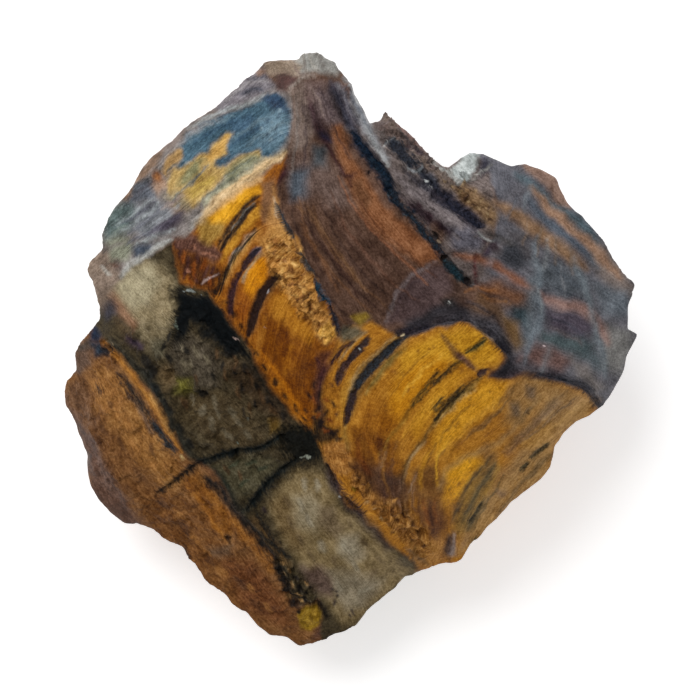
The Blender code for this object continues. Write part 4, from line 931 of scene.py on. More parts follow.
QUARTZ_MARKS = [
    wash((14, 17, 18), 4, 0.95, [
        (178, 290), (188, 296), (200, 298), (210, 298), (220, 310), (232, 330), (243, 348),
        (234, 356), (222, 346), (210, 336), (202, 322), (190, 320), (184, 334), (178, 338),
        (175, 324), (180, 306)]),
    pool((4, 7, 9), 0.3, [
        (176, 290), (186, 296), (198, 300), (208, 298), (218, 310), (230, 330), (242, 346),
        (246, 354), (236, 356), (222, 346), (210, 336), (202, 322), (190, 320), (182, 334),
        (177, 342), (174, 326), (180, 308)], 4.0),
    pool((8, 11, 10), 0.3, [
        (280, 432), (292, 430), (304, 428), (314, 434), (318, 446), (316, 458), (304, 460),
        (296, 462), (290, 454), (282, 446)], 4.0),
    wash((8, 20, 28), 4, 0.6, [(194, 298), (208, 298), (210, 308), (198, 310)]),
    streak((26, 22, 18), 9, 6, 0.85, [
        (240, 350), (252, 366), (264, 382), (278, 402), (290, 420)]),
    blots((22, 20, 18), 0.85, [
        (203, 392, 6, 4, 20), (228, 352, 8, 4, 60), (246, 370, 8, 3, 60), (236, 368, 7, 2.4, 80),
        (258, 388, 7, 2.4, 60), (270, 402, 7, 2.4, 60), (222, 366, 6, 2, 90),
        (242, 386, 6, 2, 80), (282, 416, 6, 3, 60), (170, 410, 6, 3, 60), (152, 372, 9, 5, 60),
        (146, 360, 7, 4, 60), (156, 388, 8, 4, 70), (166, 402, 6, 3, 70), (170, 336, 6, 2, 110),
        (164, 346, 5, 2, 120), (212, 338, 7, 3, 40), (186, 350, 5, 2, 60), (180, 428, 6, 3, 60),
        (190, 444, 7, 3, 60), (214, 376, 5, 2, 80), (256, 404, 6, 2, 70), (244, 412, 5, 1.6, 80),
        (170, 358, 5, 2, 40)]),
    blots((108, 98, 78), 0.7, [
        (196, 352, 8, 3, 70), (206, 360, 7, 2.4, 60), (184, 364, 7, 3, 70), (214, 402, 8, 3, 80),
        (232, 412, 7, 3, 60), (212, 424, 8, 3, 60), (228, 434, 8, 3, 30), (190, 366, 7, 2.4, 90),
        (248, 436, 7, 3, 40), (204, 410, 6, 3, 100), (192, 400, 6, 2.4, 70),
        (240, 422, 6, 2.4, 60), (218, 414, 6, 2, 70), (182, 348, 5, 2, 60)]),
    blots((88, 64, 40), 0.7, [
        (234, 362, 8, 2, 70), (250, 378, 8, 2, 70), (262, 396, 8, 2, 60), (226, 374, 7, 2, 80),
        (238, 392, 7, 2, 80), (250, 408, 7, 2, 70), (272, 410, 7, 2, 60), (216, 354, 6, 2, 90),
        (196, 378, 6, 2, 60), (184, 404, 7, 2.4, 60), (226, 470, 6, 2, 60),
        (240, 476, 6, 2, 70)]),
    blots((54, 60, 44), 0.7, [
        (232, 466, 7, 2.4, 150), (250, 464, 7, 2.4, 160), (244, 484, 7, 2.4, 140),
        (262, 470, 6, 2.4, 150), (226, 484, 6, 2.4, 60)]),
    blots((150, 140, 118), 0.65, [
        (300, 506, 8, 3, 70), (310, 520, 8, 3, 70), (304, 484, 7, 3, 80), (318, 486, 7, 2.4, 80),
        (346, 548, 8, 3, 60), (356, 566, 8, 3, 60), (340, 586, 8, 3, 60), (364, 590, 8, 3, 150),
        (322, 546, 7, 3, 60)]),
    blots((96, 78, 54), 0.65, [
        (286, 502, 8, 2.4, 70), (290, 522, 8, 2.4, 70), (300, 540, 8, 2.4, 60),
        (312, 556, 8, 2.4, 60), (328, 520, 7, 2.4, 60), (334, 560, 7, 2.4, 70),
        (350, 524, 6, 2.4, 60), (364, 542, 6, 2.4, 50), (380, 560, 7, 2.4, 50),
        (374, 574, 7, 2.4, 140)]),
    blots((40, 30, 34), 0.9, [
        (337, 595, 4, 1.6, 85), (335, 602, 3, 1.4, 85), (353, 614, 3.5, 2, 100),
        (350, 618, 2.6, 1.4, 100), (264, 511, 4, 2, 60), (332, 590, 3, 1.4, 80)]),
    # Painted shadow: a dark band where the quartz meets the lower ledge.
    streak((24, 30, 30), 7, 5, 0.8, [
        (112, 340), (122, 352), (136, 366), (150, 380), (160, 398), (168, 416), (178, 434),
        (190, 452), (202, 464)]),
    streak((28, 34, 32), 6, 5, 0.8, [(214, 468), (224, 484), (234, 500), (246, 516)]),
    streak((58, 44, 62), 6, 4, 0.85, [(127, 336), (134, 343), (141, 350)]),
    streak((22, 28, 26), 5, 4, 0.6, [
        (204, 462), (216, 457), (229, 453), (241, 451), (258, 449), (272, 443), (282, 436)]),
    streak((22, 30, 28), 5, 4, 0.6, [
        (300, 458), (286, 466), (272, 478), (260, 492), (248, 508), (242, 514)]),
    ink((6, 14, 16), 3.6, 0.3, [
        (157, 493), (166, 487), (174, 482), (180, 477), (187, 471), (196, 465), (204, 461),
        (216, 457), (229, 453), (241, 451), (258, 449), (270, 443), (284, 433)], 1.8),
    ink((6, 14, 16), 4.2, 0.3, [
        (298, 459), (286, 467), (273, 478), (264, 488), (256, 499), (247, 510)], 2.0),
    ink((18, 22, 22), 3.4, 0.12, [
        (246, 521), (256, 532), (264, 539), (272, 544), (280, 550), (288, 558)], 1.8),
    ink((24, 24, 22), 2.4, 0.1, [(259, 516), (266, 528), (272, 538), (279, 548)], 1.8),
    ink((44, 36, 40), 3, 0.1, [(331, 473), (337, 482), (343, 492)], 2.4),
    ink((44, 34, 36), 3, 0.1, [(345, 497), (353, 505), (362, 513)], 2.4),
    painted_glint((126, 138, 124), 1.3, [(176, 318), (175, 325), (176, 331)]),
    painted_glint((150, 154, 140), 1.3, [(300, 458), (305, 457), (310, 458)]),
    painted_glint((126, 136, 124), 1.4, [(236, 441), (238, 445)]),
    painted_glint((130, 134, 122), 1.3, [(247, 418), (248, 421)]),
    painted_glint((128, 120, 108), 1.8, [(215, 385), (216, 387)]),
    painted_glint((200, 200, 194), 1.4, [(338, 496), (340, 497)]),
    hackle(0.15, 2.2, 0.35, 8, [
        (120, 340), (172, 300), (206, 306), (262, 380), (310, 440), (300, 480), (250, 500),
        (214, 470), (160, 400)]),
]

LEDGE = [
    wash((120, 80, 44), 3, 1.0, [
        (40, 300), (92, 322), (106, 340), (140, 384), (178, 446), (212, 476), (234, 512),
        (268, 550), (286, 590), (322, 606), (330, 660), (60, 660)]),
    wash((146, 100, 50), 9, 0.9, [
        (96, 368), (120, 372), (146, 410), (166, 448), (190, 480), (168, 492), (136, 460),
        (108, 420)]),
    wash((152, 104, 54), 6, 0.9, [(88, 380), (112, 376), (124, 396), (120, 416), (98, 412)]),
    wash((112, 80, 56), 6, 0.9, [
        (64, 384), (84, 380), (90, 404), (100, 430), (84, 428), (72, 408)]),
    wash((84, 60, 50), 7, 0.9, [
        (64, 412), (76, 420), (96, 440), (110, 470), (128, 500), (140, 524), (126, 532),
        (92, 500), (76, 440)]),
    wash((92, 72, 60), 5, 0.9, [(72, 372), (76, 348), (90, 344), (92, 364), (80, 376)]),
    wash((12, 34, 56), 4, 0.95, [(90, 318), (104, 318), (108, 332), (98, 342), (88, 340)]),
    wash((26, 46, 62), 4, 0.95, [(88, 340), (100, 342), (106, 354), (96, 358)]),
    wash((70, 62, 56), 3, 0.9, [(76, 344), (88, 338), (90, 348), (78, 352)]),
    wash((118, 76, 38), 9, 0.9, [
        (140, 492), (186, 500), (230, 546), (270, 604), (250, 620), (196, 570), (150, 526)]),
    wash((132, 82, 30), 6, 0.95, [
        (178, 474), (202, 478), (222, 500), (236, 524), (228, 542), (214, 530), (200, 506)]),
    wash((148, 96, 42), 4, 0.9, [
        (234, 516), (250, 530), (270, 552), (280, 568), (270, 572), (252, 552), (238, 534)]),
    wash((112, 68, 38), 8, 0.9, [
        (222, 560), (254, 562), (282, 596), (292, 628), (270, 622), (242, 606)]),
    wash((92, 74, 58), 5, 0.7, [(206, 548), (232, 546), (232, 556), (208, 556)]),
    wash((70, 54, 38), 4, 0.9, [
        (272, 562), (292, 562), (312, 584), (318, 604), (300, 606), (284, 590)]),
    wash((58, 66, 76), 3, 0.9, [(311, 583), (320, 584), (323, 596), (314, 600)]),
    wash((152, 118, 32), 2.5, 1.0, [
        (298, 616), (306, 606), (318, 604), (322, 613), (320, 624), (312, 630), (300, 628)]),
    wash((124, 78, 36), 3, 0.9, [(326, 604), (334, 610), (342, 624), (334, 630), (326, 620)]),
    wash((92, 60, 48), 4, 0.85, [(322, 622), (340, 630), (330, 640), (312, 640)]),
]
LEDGE_MARKS = [
    # Partly painted highlight: the gold edge of the ledge, brightened where light catches it.
    streak((172, 114, 44), 6, 2.5, 1.0, [
        (104, 342), (112, 350), (122, 362), (130, 374), (138, 386), (148, 398), (159, 412),
        (167, 427), (174, 441), (182, 452)]),
    # Painted highlight along that edge.
    streak((196, 148, 84), 2.4, 1.6, 0.9, [
        (140, 386), (150, 398), (160, 412), (168, 427), (176, 442)]),
    streak((112, 76, 44), 4, 2.5, 0.8, [(112, 360), (124, 374), (136, 390), (148, 406)]),
    # Painted highlight at the end of that edge.
    streak((196, 168, 112), 2.4, 1.6, 0.9, [(179, 455), (183, 460)]),
    ink((16, 32, 40), 5, 0.15, [(150, 420), (156, 428), (162, 437), (168, 445), (174, 452)], 1.8),
    ink((30, 30, 30), 3, 0.1, [(122, 378), (131, 390), (140, 404), (148, 416)], 2.2),
    streak((84, 72, 66), 5, 3, 0.7, [(130, 396), (138, 408), (146, 422), (152, 436)]),
    streak((160, 104, 44), 5, 3, 0.8, [
        (194, 470), (208, 488), (222, 508), (234, 524), (250, 542)]),
    streak((166, 106, 40), 4, 2.5, 0.8, [(186, 484), (200, 502), (212, 520), (224, 538)]),
    streak((120, 74, 30), 3, 2, 0.8, [(194, 482), (208, 502), (222, 524)]),
    ink((14, 12, 14), 4, 0.3, [(108, 346), (113, 351)], 1.6),
    ink((20, 22, 26), 3, 0.2, [(103, 348), (107, 354)], 1.6),
    painted_glint((150, 130, 100), 1.4, [(105, 342), (110, 341), (116, 346)]),
    streak((116, 90, 76), 4, 3, 0.8, [(66, 392), (68, 404), (77, 416), (84, 432), (90, 441)]),
    streak((112, 84, 70), 3, 3, 0.7, [(90, 441), (100, 462), (108, 484), (122, 504)]),
    streak((64, 46, 40), 3, 2, 0.7, [(70, 412), (82, 428), (94, 448), (104, 468)]),
    ink((46, 30, 24), 2.6, 0.1, [(97, 386), (101, 394)], 1.8),
    ink((50, 34, 26), 2.6, 0.1, [(118, 374), (125, 382)], 1.8),
    ink((40, 30, 28), 2.6, 0.1, [(127, 388), (132, 399)], 1.8),
    streak((58, 48, 40), 7, 4, 0.75, [
        (204, 478), (222, 494), (238, 514), (256, 534), (274, 556)]),
    ink((24, 20, 18), 3.4, 0.15, [(204, 478), (212, 484), (220, 490), (224, 497)], 2.6),
    ink((20, 18, 16), 3.4, 0.15, [
        (229, 504), (237, 515), (247, 524), (255, 532), (263, 543), (271, 554), (279, 564)], 2.6),
    ink((26, 18, 16), 3.4, 0.15, [(226, 536), (230, 541)], 1.6),
    ink((18, 15, 14), 3.4, 0.2, [
        (276, 560), (282, 572), (288, 584), (292, 596), (298, 604)], 2.4),
    ink((24, 18, 14), 3, 0.2, [(318, 602), (323, 610), (328, 618)], 1.6),
    ink((44, 32, 28), 2.6, 0.2, [(184, 548), (186, 553), (187, 560)], 1.6),
    blots((22, 18, 17), 0.9, [
        (278, 568, 5, 3, 60), (286, 590, 4, 3, 60), (300, 588, 5, 2.4, 50), (296, 578, 4, 2, 40),
        (304, 600, 4, 2.4, 60), (262, 544, 4, 2, 50), (282, 580, 4, 2.4, 70),
        (292, 604, 4, 3, 40), (306, 594, 3, 2, 20), (216, 484, 3, 1.8, 50),
        (222, 492, 3, 1.8, 50), (226, 499, 3, 1.6, 60), (210, 481, 3, 1.6, 40),
        (300, 612, 3, 2, 20), (310, 588, 3, 1.6, 60)]),
    blots((166, 128, 80), 0.85, [
        (292, 584, 4, 1.8, 60), (284, 574, 3, 1.6, 50), (298, 594, 4, 1.6, 40),
        (288, 598, 3, 1.6, 50), (306, 584, 3, 1.4, 40), (282, 562, 3, 1.4, 50),
        (290, 570, 3, 1.4, 60), (300, 602, 3, 1.4, 30)]),
    blots((178, 140, 52), 0.8, [
        (306, 614, 4, 2, 110), (314, 612, 4, 2, 60), (310, 622, 4, 2, 20)]),
    blots((118, 88, 24), 0.8, [(312, 618, 3, 1.4, 60), (304, 622, 3, 1.2, 20)]),
    blots((78, 50, 32), 0.6, [
        (110, 404, 6, 2.4, 60), (122, 444, 10, 3, 60), (140, 474, 10, 3, 50),
        (162, 504, 10, 3, 45), (186, 530, 10, 3, 45), (210, 560, 9, 3, 45),
        (152, 450, 8, 2.4, 60), (240, 584, 10, 3, 50), (104, 430, 8, 3, 60), (130, 490, 9, 3, 50),
        (256, 604, 9, 3, 50), (172, 520, 8, 2.4, 45)]),
    blots((166, 114, 60), 0.6, [
        (116, 412, 8, 3, 60), (134, 446, 8, 3, 60), (152, 466, 7, 2.4, 50), (162, 482, 8, 3, 40),
        (180, 514, 9, 3, 45), (196, 540, 8, 3, 50), (222, 572, 8, 3, 45), (100, 392, 6, 3, 60),
        (128, 424, 7, 3, 60), (250, 588, 7, 3, 50), (268, 608, 6, 2.4, 50),
        (206, 552, 6, 2, 45)]),
    hackle(0.1, 1.8, 0.3, 8, [
        (70, 380), (100, 350), (150, 410), (190, 470), (230, 510), (280, 570), (320, 605),
        (330, 650), (260, 625), (150, 525), (100, 490)]),
    hackle(0.3, 1.0, 0.6, 4, [
        (268, 556), (288, 560), (314, 586), (320, 606), (300, 608), (284, 596)]),
    hackle(0.2, 1.2, 0.4, 4, [(92, 340), (108, 338), (122, 356), (116, 366), (98, 360)]),
]

LOBES = [
    wash((176, 116, 34), 2.5, 1.0, LOBES_OUTLINE),
    wash((92, 90, 74), 4, 0.9, [
        (338, 332), (346, 326), (360, 326), (366, 332), (352, 342), (342, 342)]),
    wash((146, 118, 34), 3, 0.8, [(350, 316), (364, 311), (370, 318), (360, 324)]),
    wash((188, 134, 46), 3, 0.9, [
        (392, 340), (404, 334), (398, 346), (376, 362), (360, 378), (350, 394), (344, 420),
        (337, 420), (340, 392), (352, 372), (372, 354)]),
    # The bright gold washes from here to the one at (444, 476) lie along a band of silky sheen:
    # the stone's own gold, brightened by painted sheen.
    wash((208, 150, 38), 7, 0.95, [
        (404, 350), (440, 334), (468, 328), (484, 332), (498, 350), (496, 364), (476, 368),
        (452, 360), (424, 378), (398, 378)]),
    wash((200, 132, 22), 7, 0.95, [
        (392, 384), (410, 368), (436, 356), (450, 362), (424, 392), (402, 420), (384, 424)]),
    wash((154, 94, 20), 8, 0.9, [
        (366, 404), (384, 398), (396, 424), (386, 452), (368, 452), (354, 430)]),
    wash((206, 144, 36), 6, 0.9, [
        (428, 396), (452, 372), (470, 372), (452, 394), (432, 416), (416, 440), (410, 428)]),
    wash((216, 152, 36), 7, 0.95, [
        (444, 418), (462, 398), (484, 382), (506, 384), (500, 402), (476, 420), (452, 444),
        (436, 456), (432, 440)]),
    wash((222, 156, 28), 7, 0.95, [
        (444, 476), (456, 458), (476, 452), (484, 464), (474, 484), (458, 500), (446, 506)]),
    wash((164, 122, 68), 7, 0.95, [
        (508, 388), (526, 374), (544, 376), (552, 390), (540, 410), (520, 426), (504, 424)]),
    wash((166, 126, 74), 8, 0.95, [
        (546, 380), (570, 388), (598, 402), (588, 420), (560, 440), (552, 458), (552, 474),
        (524, 496), (508, 516), (494, 534), (470, 552), (456, 556), (466, 526), (486, 494),
        (504, 470), (522, 446), (540, 420)]),
    wash((176, 128, 60), 6, 0.8, [(524, 426), (548, 422), (556, 432), (540, 446), (524, 450)]),
    wash((98, 82, 66), 4, 0.85, [(511, 402), (519, 404), (519, 416), (512, 416)]),
    wash((104, 84, 66), 4, 0.85, [(526, 384), (536, 386), (534, 400), (527, 398)]),
    wash((112, 64, 12), 8, 0.9, [
        (350, 428), (376, 434), (398, 444), (396, 470), (372, 480), (350, 468)]),
    wash((82, 52, 34), 8, 0.9, [(350, 462), (384, 466), (404, 486), (388, 504), (362, 492)]),
    wash((66, 44, 40), 7, 0.9, [(378, 478), (392, 475), (402, 490), (396, 504), (380, 502)]),
    wash((90, 52, 30), 7, 0.9, [
        (412, 508), (430, 504), (444, 508), (448, 528), (438, 542), (424, 530)]),
    wash((112, 72, 32), 6, 0.85, [
        (412, 470), (436, 464), (446, 484), (440, 510), (420, 504), (410, 490)]),
    wash((166, 112, 52), 3, 0.98, [
        (322, 446), (330, 441), (350, 444), (352, 466), (346, 478), (332, 472), (325, 462)]),
    wash((156, 106, 50), 3, 0.95, [
        (349, 470), (360, 472), (377, 498), (394, 498), (411, 510), (425, 532), (432, 544),
        (428, 560), (408, 546), (390, 526), (368, 502), (352, 486)]),
    wash((170, 118, 56), 4, 0.98, [
        (412, 548), (428, 540), (446, 534), (446, 556), (436, 572), (418, 574), (414, 562)]),
    wash((44, 42, 50), 3, 0.9, [(446, 536), (451, 533), (454, 548), (449, 562), (444, 554)]),
    wash((132, 124, 122), 2, 0.8, [(453, 532), (457, 534), (457, 556), (452, 560)]),
    wash((134, 108, 56), 6, 0.75, [
        (492, 462), (500, 468), (492, 486), (482, 504), (471, 526), (460, 536), (454, 532),
        (456, 514), (464, 494), (476, 476)]),
    wash((98, 78, 52), 5, 0.6, [
        (486, 452), (496, 452), (497, 470), (492, 480), (484, 474), (474, 484), (462, 502),
        (456, 520), (451, 524), (453, 508), (462, 490), (476, 470)]),
    wash((56, 40, 44), 4, 0.85, [
        (490, 370), (506, 368), (528, 372), (560, 370), (556, 380), (526, 378), (504, 380),
        (488, 378)]),
    wash((58, 36, 34), 4, 0.85, [
        (318, 376), (325, 374), (322, 400), (328, 422), (320, 428), (314, 402)]),
    wash((18, 20, 20), 3, 0.9, [
        (313, 420), (322, 418), (330, 430), (340, 428), (338, 440), (322, 444), (312, 440)]),
]
LOBES_MARKS = [
    hackle(0.36, 1.5, 0.7, 3, [
        (352, 468), (362, 474), (378, 498), (396, 498), (412, 510), (426, 532), (434, 546),
        (428, 560), (408, 548), (388, 526), (368, 504), (350, 484)]),
    hackle(0.14, 1.2, 0.5, 4, [
        (322, 446), (330, 441), (350, 444), (352, 466), (346, 478), (326, 466)]),
    streak((94, 78, 48), 14, 4, 0.6, [
        (410, 336), (393, 348), (378, 362), (364, 378), (354, 396), (350, 416)]),
    streak((150, 128, 92), 3, 2, 0.75, [
        (400, 334), (386, 344), (372, 357), (358, 372), (351, 390), (347, 410)]),
    ink((20, 34, 44), 7.5, 0.28, [
        (409, 335), (400, 341), (392, 348), (383, 356), (373, 366), (364, 376), (357, 385),
        (353, 394)]),
    ink((30, 24, 34), 6, 0.2, [(356, 388), (352, 396), (350, 405), (348, 414), (345, 426)]),
    streak((112, 84, 34), 5, 3, 0.7, [(346, 420), (344, 436), (350, 452)]),
    streak((112, 100, 52), 5, 2.5, 0.8, [(404, 350), (392, 360), (378, 376), (366, 394)]),
    streak((170, 144, 100), 2, 1.4, 0.85, [(366, 331), (356, 340), (346, 352), (338, 366)]),
    ink((28, 30, 40), 7, 0.22, [(370, 338), (363, 345), (356, 353), (348, 362)]),
    ink((44, 32, 38), 6.5, 0.2, [(350, 360), (344, 367), (340, 375), (337, 383)]),
    ink((46, 28, 34), 3.5, 0.14, [(355, 341), (346, 347), (338, 355), (332, 363)]),
    streak((70, 36, 44), 5, 3, 0.8, [(332, 362), (326, 374), (321, 388)]),
    ink((62, 52, 24), 1.5, 0.1, [(438, 374), (430, 384), (423, 393), (413, 405)], 1.4),
    streak((118, 92, 34), 3, 2, 0.8, [
        (414, 404), (404, 418), (396, 430), (386, 444), (378, 458)]),
    ink((40, 34, 20), 1.9, 0.12, [
        (460, 360), (452, 367), (444, 374), (437, 380), (430, 387)], 1.4),
    ink((40, 32, 20), 2, 0.12, [(437, 372), (434, 380), (431, 386)], 1.4),
    streak((100, 86, 44), 5, 2.5, 0.75, [
        (484, 374), (473, 384), (462, 394), (450, 405), (440, 415), (430, 430)]),
    ink((34, 30, 20), 2.4, 0.16, [
        (480, 376), (470, 385), (461, 393), (451, 403), (442, 411), (434, 421)], 1.6),
    ink((52, 44, 26), 2, 0.12, [(464, 386), (454, 395), (444, 404), (436, 412)], 1.4),
    streak((176, 146, 92), 2.4, 1.5, 0.8, [
        (478, 384), (466, 394), (454, 405), (442, 418), (434, 430)]),
    ink((58, 50, 30), 2.2, 0.1, [(442, 398), (438, 404), (433, 409)], 1.4),
    streak((96, 76, 42), 4, 2.5, 0.85, [
        (432, 426), (424, 437), (416, 449), (410, 458), (406, 466), (402, 480), (400, 494)]),
    streak((170, 140, 96), 2, 1.5, 0.75, [(426, 438), (414, 454), (408, 466), (403, 482)]),
    streak((146, 116, 74), 6, 4, 0.7, [
        (540, 396), (520, 420), (502, 440), (484, 450), (462, 458), (448, 470), (440, 490)]),
    streak((132, 104, 70), 6, 4, 0.75, [
        (566, 392), (548, 408), (532, 422), (516, 438), (502, 452)]),
    streak((116, 96, 80), 5, 4, 0.7, [(560, 404), (540, 420), (520, 440), (506, 456)]),
    streak((120, 86, 46), 3, 2, 0.75, [(519, 382), (512, 390), (504, 398), (494, 408)]),
    streak((112, 80, 44), 3, 2, 0.75, [(502, 406), (492, 416), (480, 426), (468, 436)]),
    streak((150, 98, 24), 3, 2, 0.7, [(470, 428), (456, 444), (446, 460)]),
    ink((66, 46, 28), 2.2, 0.12, [(531, 409), (526, 414)], 1.4),
    ink((62, 54, 36), 2.6, 0.14, [(547, 444), (540, 450), (532, 458)], 1.4),
    ink((62, 56, 38), 2.2, 0.12, [(528, 463), (521, 470)], 1.4),
    streak((104, 84, 56), 5, 3, 0.7, [(554, 452), (540, 464), (524, 478)]),
    streak((104, 78, 62), 6, 4, 0.7, [(496, 488), (502, 494), (508, 492)]),
    ink((36, 34, 28), 3, 0.14, [(483, 502), (477, 511), (470, 522)], 1.4),
    streak((84, 76, 54), 5, 3, 0.8, [(486, 498), (476, 514), (466, 530)]),
    ink((74, 66, 46), 2.2, 0.1, [(476, 539), (471, 549)], 1.4),
    streak((118, 84, 52), 6, 2.5, 0.8, [(440, 335), (448, 344), (457, 353), (467, 361)]),
    streak((92, 62, 56), 6, 2.5, 0.9, [(458, 353), (467, 361), (475, 370)]),
    streak((90, 82, 40), 4, 1.6, 0.85, [(487, 338), (478, 345), (466, 353)]),
    ink((48, 44, 24), 1.8, 0.1, [(486, 340), (477, 347), (467, 353)], 1.3),
    ink((34, 28, 38), 7, 0.22, [(478, 376), (482, 373), (487, 370)]),
    blots((128, 78, 26), 0.7, [
        (394, 371, 4, 1.4, 20), (402, 373, 3, 1.4, 60), (414, 388, 3, 1, 120),
        (420, 352, 3, 1, 140), (432, 348, 4, 1, 150), (448, 348, 3, 1, 140),
        (456, 344, 3, 1, 150), (476, 356, 3, 1, 140), (462, 372, 3, 1, 130),
        (408, 392, 3, 1, 130), (386, 406, 4, 1.2, 120), (396, 404, 3, 1, 120),
        (470, 398, 3, 1, 140), (480, 396, 4, 1, 140), (490, 392, 3, 1, 140),
        (456, 424, 4, 1, 130), (462, 470, 4, 0.9, 120), (470, 462, 4, 0.9, 120),
        (458, 484, 4, 0.9, 115), (450, 488, 4, 0.9, 110)]),
    wash((84, 56, 38), 7, 0.85, [(384, 480), (404, 470), (412, 490), (410, 512), (394, 506)]),
    streak((118, 60, 20), 4, 3, 0.7, [(356, 440), (362, 460), (372, 476)]),
    streak((164, 100, 22), 4, 3, 0.7, [(364, 432), (374, 452), (384, 472)]),
    streak((98, 52, 22), 4, 3, 0.7, [(376, 436), (384, 456), (390, 476)]),
    streak((160, 98, 22), 4, 3, 0.7, [(392, 436), (394, 456), (396, 474)]),
    streak((152, 124, 92), 1.8, 1.4, 0.75, [(388, 450), (384, 460), (380, 470)]),
    streak((146, 120, 96), 1.8, 1.4, 0.75, [(417, 474), (412, 482), (408, 492)]),
    streak((138, 104, 80), 2, 1.5, 0.7, [(400, 480), (398, 494), (402, 508)]),
    streak((138, 104, 76), 2, 1.5, 0.7, [(414, 484), (412, 498), (416, 510)]),
    streak((140, 76, 24), 2.4, 1.5, 0.7, [(424, 500), (424, 514), (428, 526)]),
    streak((140, 80, 28), 2.4, 1.5, 0.7, [(436, 496), (434, 510), (438, 524)]),
    streak((70, 40, 28), 3, 2, 0.8, [(430, 500), (430, 516), (434, 530)]),
    streak((64, 36, 22), 3, 2, 0.8, [(349, 462), (354, 470), (362, 479)]),
    ink((34, 27, 26), 2.6, 0.3, [(326, 464), (331, 474), (336, 484)]),
    ink((44, 32, 30), 2.4, 0.3, [(343, 496), (350, 503), (358, 510)]),
    streak((72, 52, 40), 5, 4, 0.7, [(360, 512), (376, 528), (392, 548)]),
    streak((56, 54, 48), 5, 4, 0.8, [(406, 547), (416, 555), (427, 563)]),
    streak((86, 76, 50), 4, 1.6, 0.85, [
        (497, 462), (488, 476), (478, 490), (470, 506), (461, 524)]),
    streak((72, 62, 44), 2.4, 1.2, 0.85, [
        (491, 456), (482, 468), (470, 484), (460, 502), (452, 522)]),
    streak((170, 128, 54), 3, 1.5, 0.8, [(500, 468), (492, 482), (482, 498), (472, 516)]),
    streak((156, 116, 46), 2.4, 1.4, 0.8, [(484, 470), (474, 486), (465, 502), (458, 520)]),
    streak((88, 74, 48), 2, 1.2, 0.85, [(504, 474), (494, 492), (482, 512), (470, 532)]),
    streak((196, 138, 34), 3, 1.6, 0.8, [(434, 440), (426, 456), (421, 472), (420, 490)]),
    streak((112, 72, 26), 2.4, 1.4, 0.8, [(440, 438), (430, 456), (426, 474), (426, 492)]),
    streak((118, 76, 28), 2, 1.2, 0.8, [(446, 448), (437, 464), (434, 484), (436, 504)]),
    streak((224, 164, 44), 2.4, 1.4, 0.8, [(452, 436), (441, 452), (436, 468), (437, 486)]),
    streak((92, 62, 40), 2.4, 1.4, 0.8, [(384, 444), (380, 460), (378, 478), (384, 496)]),
    streak((140, 92, 34), 2.4, 1.4, 0.7, [(388, 444), (384, 462), (384, 480), (390, 498)]),
    streak((88, 56, 38), 2.4, 1.4, 0.8, [(398, 442), (393, 460), (393, 480), (400, 500)]),
    streak((150, 110, 66), 2, 1.2, 0.75, [(406, 500), (408, 512), (414, 526)]),
    streak((104, 66, 36), 2, 1.2, 0.75, [(420, 496), (419, 512), (424, 530)]),
    streak((118, 88, 50), 2, 1.2, 0.8, [(514, 392), (500, 410), (484, 426), (466, 440)]),
    streak((214, 156, 56), 2.4, 1.3, 0.75, [(500, 396), (486, 410), (470, 424), (456, 438)]),
    streak((142, 96, 32), 2, 1.2, 0.8, [(470, 404), (456, 418), (446, 432), (440, 446)]),
    streak((226, 172, 60), 2.4, 1.3, 0.75, [(446, 352), (430, 364), (414, 380), (400, 398)]),
    streak((146, 96, 26), 2, 1.2, 0.75, [(430, 352), (414, 366), (400, 382), (388, 400)]),
    streak((146, 96, 26), 2, 1.2, 0.75, [(420, 398), (408, 412), (398, 426), (390, 440)]),
    streak((216, 154, 46), 2.4, 1.3, 0.75, [(424, 408), (412, 422), (402, 438)]),
    streak((112, 92, 72), 2, 1.2, 0.75, [(576, 398), (556, 414), (538, 430), (520, 444)]),
    streak((190, 146, 82), 2.4, 1.3, 0.7, [(584, 402), (564, 418), (546, 434), (530, 448)]),
    streak((126, 102, 70), 2, 1.2, 0.75, [(548, 460), (530, 476), (512, 496), (494, 520)]),
    streak((190, 142, 78), 2.4, 1.3, 0.7, [(538, 462), (520, 480), (502, 502), (486, 526)]),
    blots((84, 50, 24), 0.85, [
        (364, 482, 3, 2, 30), (368, 490, 3, 2, 80), (362, 494, 2.6, 2, 50), (374, 502, 3, 2, 20),
        (382, 510, 3, 2, 60), (392, 508, 3, 1.8, 70), (396, 520, 3, 2, 50),
        (404, 514, 3, 1.8, 20), (404, 528, 3, 2, 60), (412, 522, 2.6, 1.8, 20),
        (418, 534, 3, 2, 70), (412, 540, 2.6, 1.8, 40), (424, 546, 3, 1.8, 60),
        (394, 532, 2.4, 1.8, 20), (386, 500, 2.6, 1.6, 70), (358, 476, 2.6, 1.8, 20),
        (370, 478, 3, 1.8, 60)]),
    blots((194, 138, 70), 0.8, [
        (368, 484, 2.6, 1.6, 40), (360, 488, 2.6, 1.4, 120), (378, 506, 3, 1.4, 30),
        (388, 504, 4, 1.4, 150), (398, 514, 3, 1.6, 60), (400, 522, 3, 1.4, 120),
        (408, 520, 3, 1.4, 30), (410, 532, 3, 1.6, 70), (416, 528, 2.6, 1.4, 30),
        (404, 540, 3, 1.4, 60), (420, 540, 3, 1.6, 60), (390, 516, 3, 1.4, 30),
        (372, 496, 2.6, 1.4, 140), (396, 500, 3, 1.4, 150)]),
    blots((190, 158, 110), 0.8, [
        (368, 502, 2, 1.2, 30), (374, 508, 2, 1.2, 60), (382, 518, 2.4, 1.2, 40)]),
    blots((112, 92, 24), 0.8, [(355, 490, 3.5, 2, 40)]),
    blots((26, 16, 17), 0.9, [
        (312, 384, 5, 2.2, 110), (320, 396, 6, 2.2, 100), (316, 408, 5, 2.4, 120),
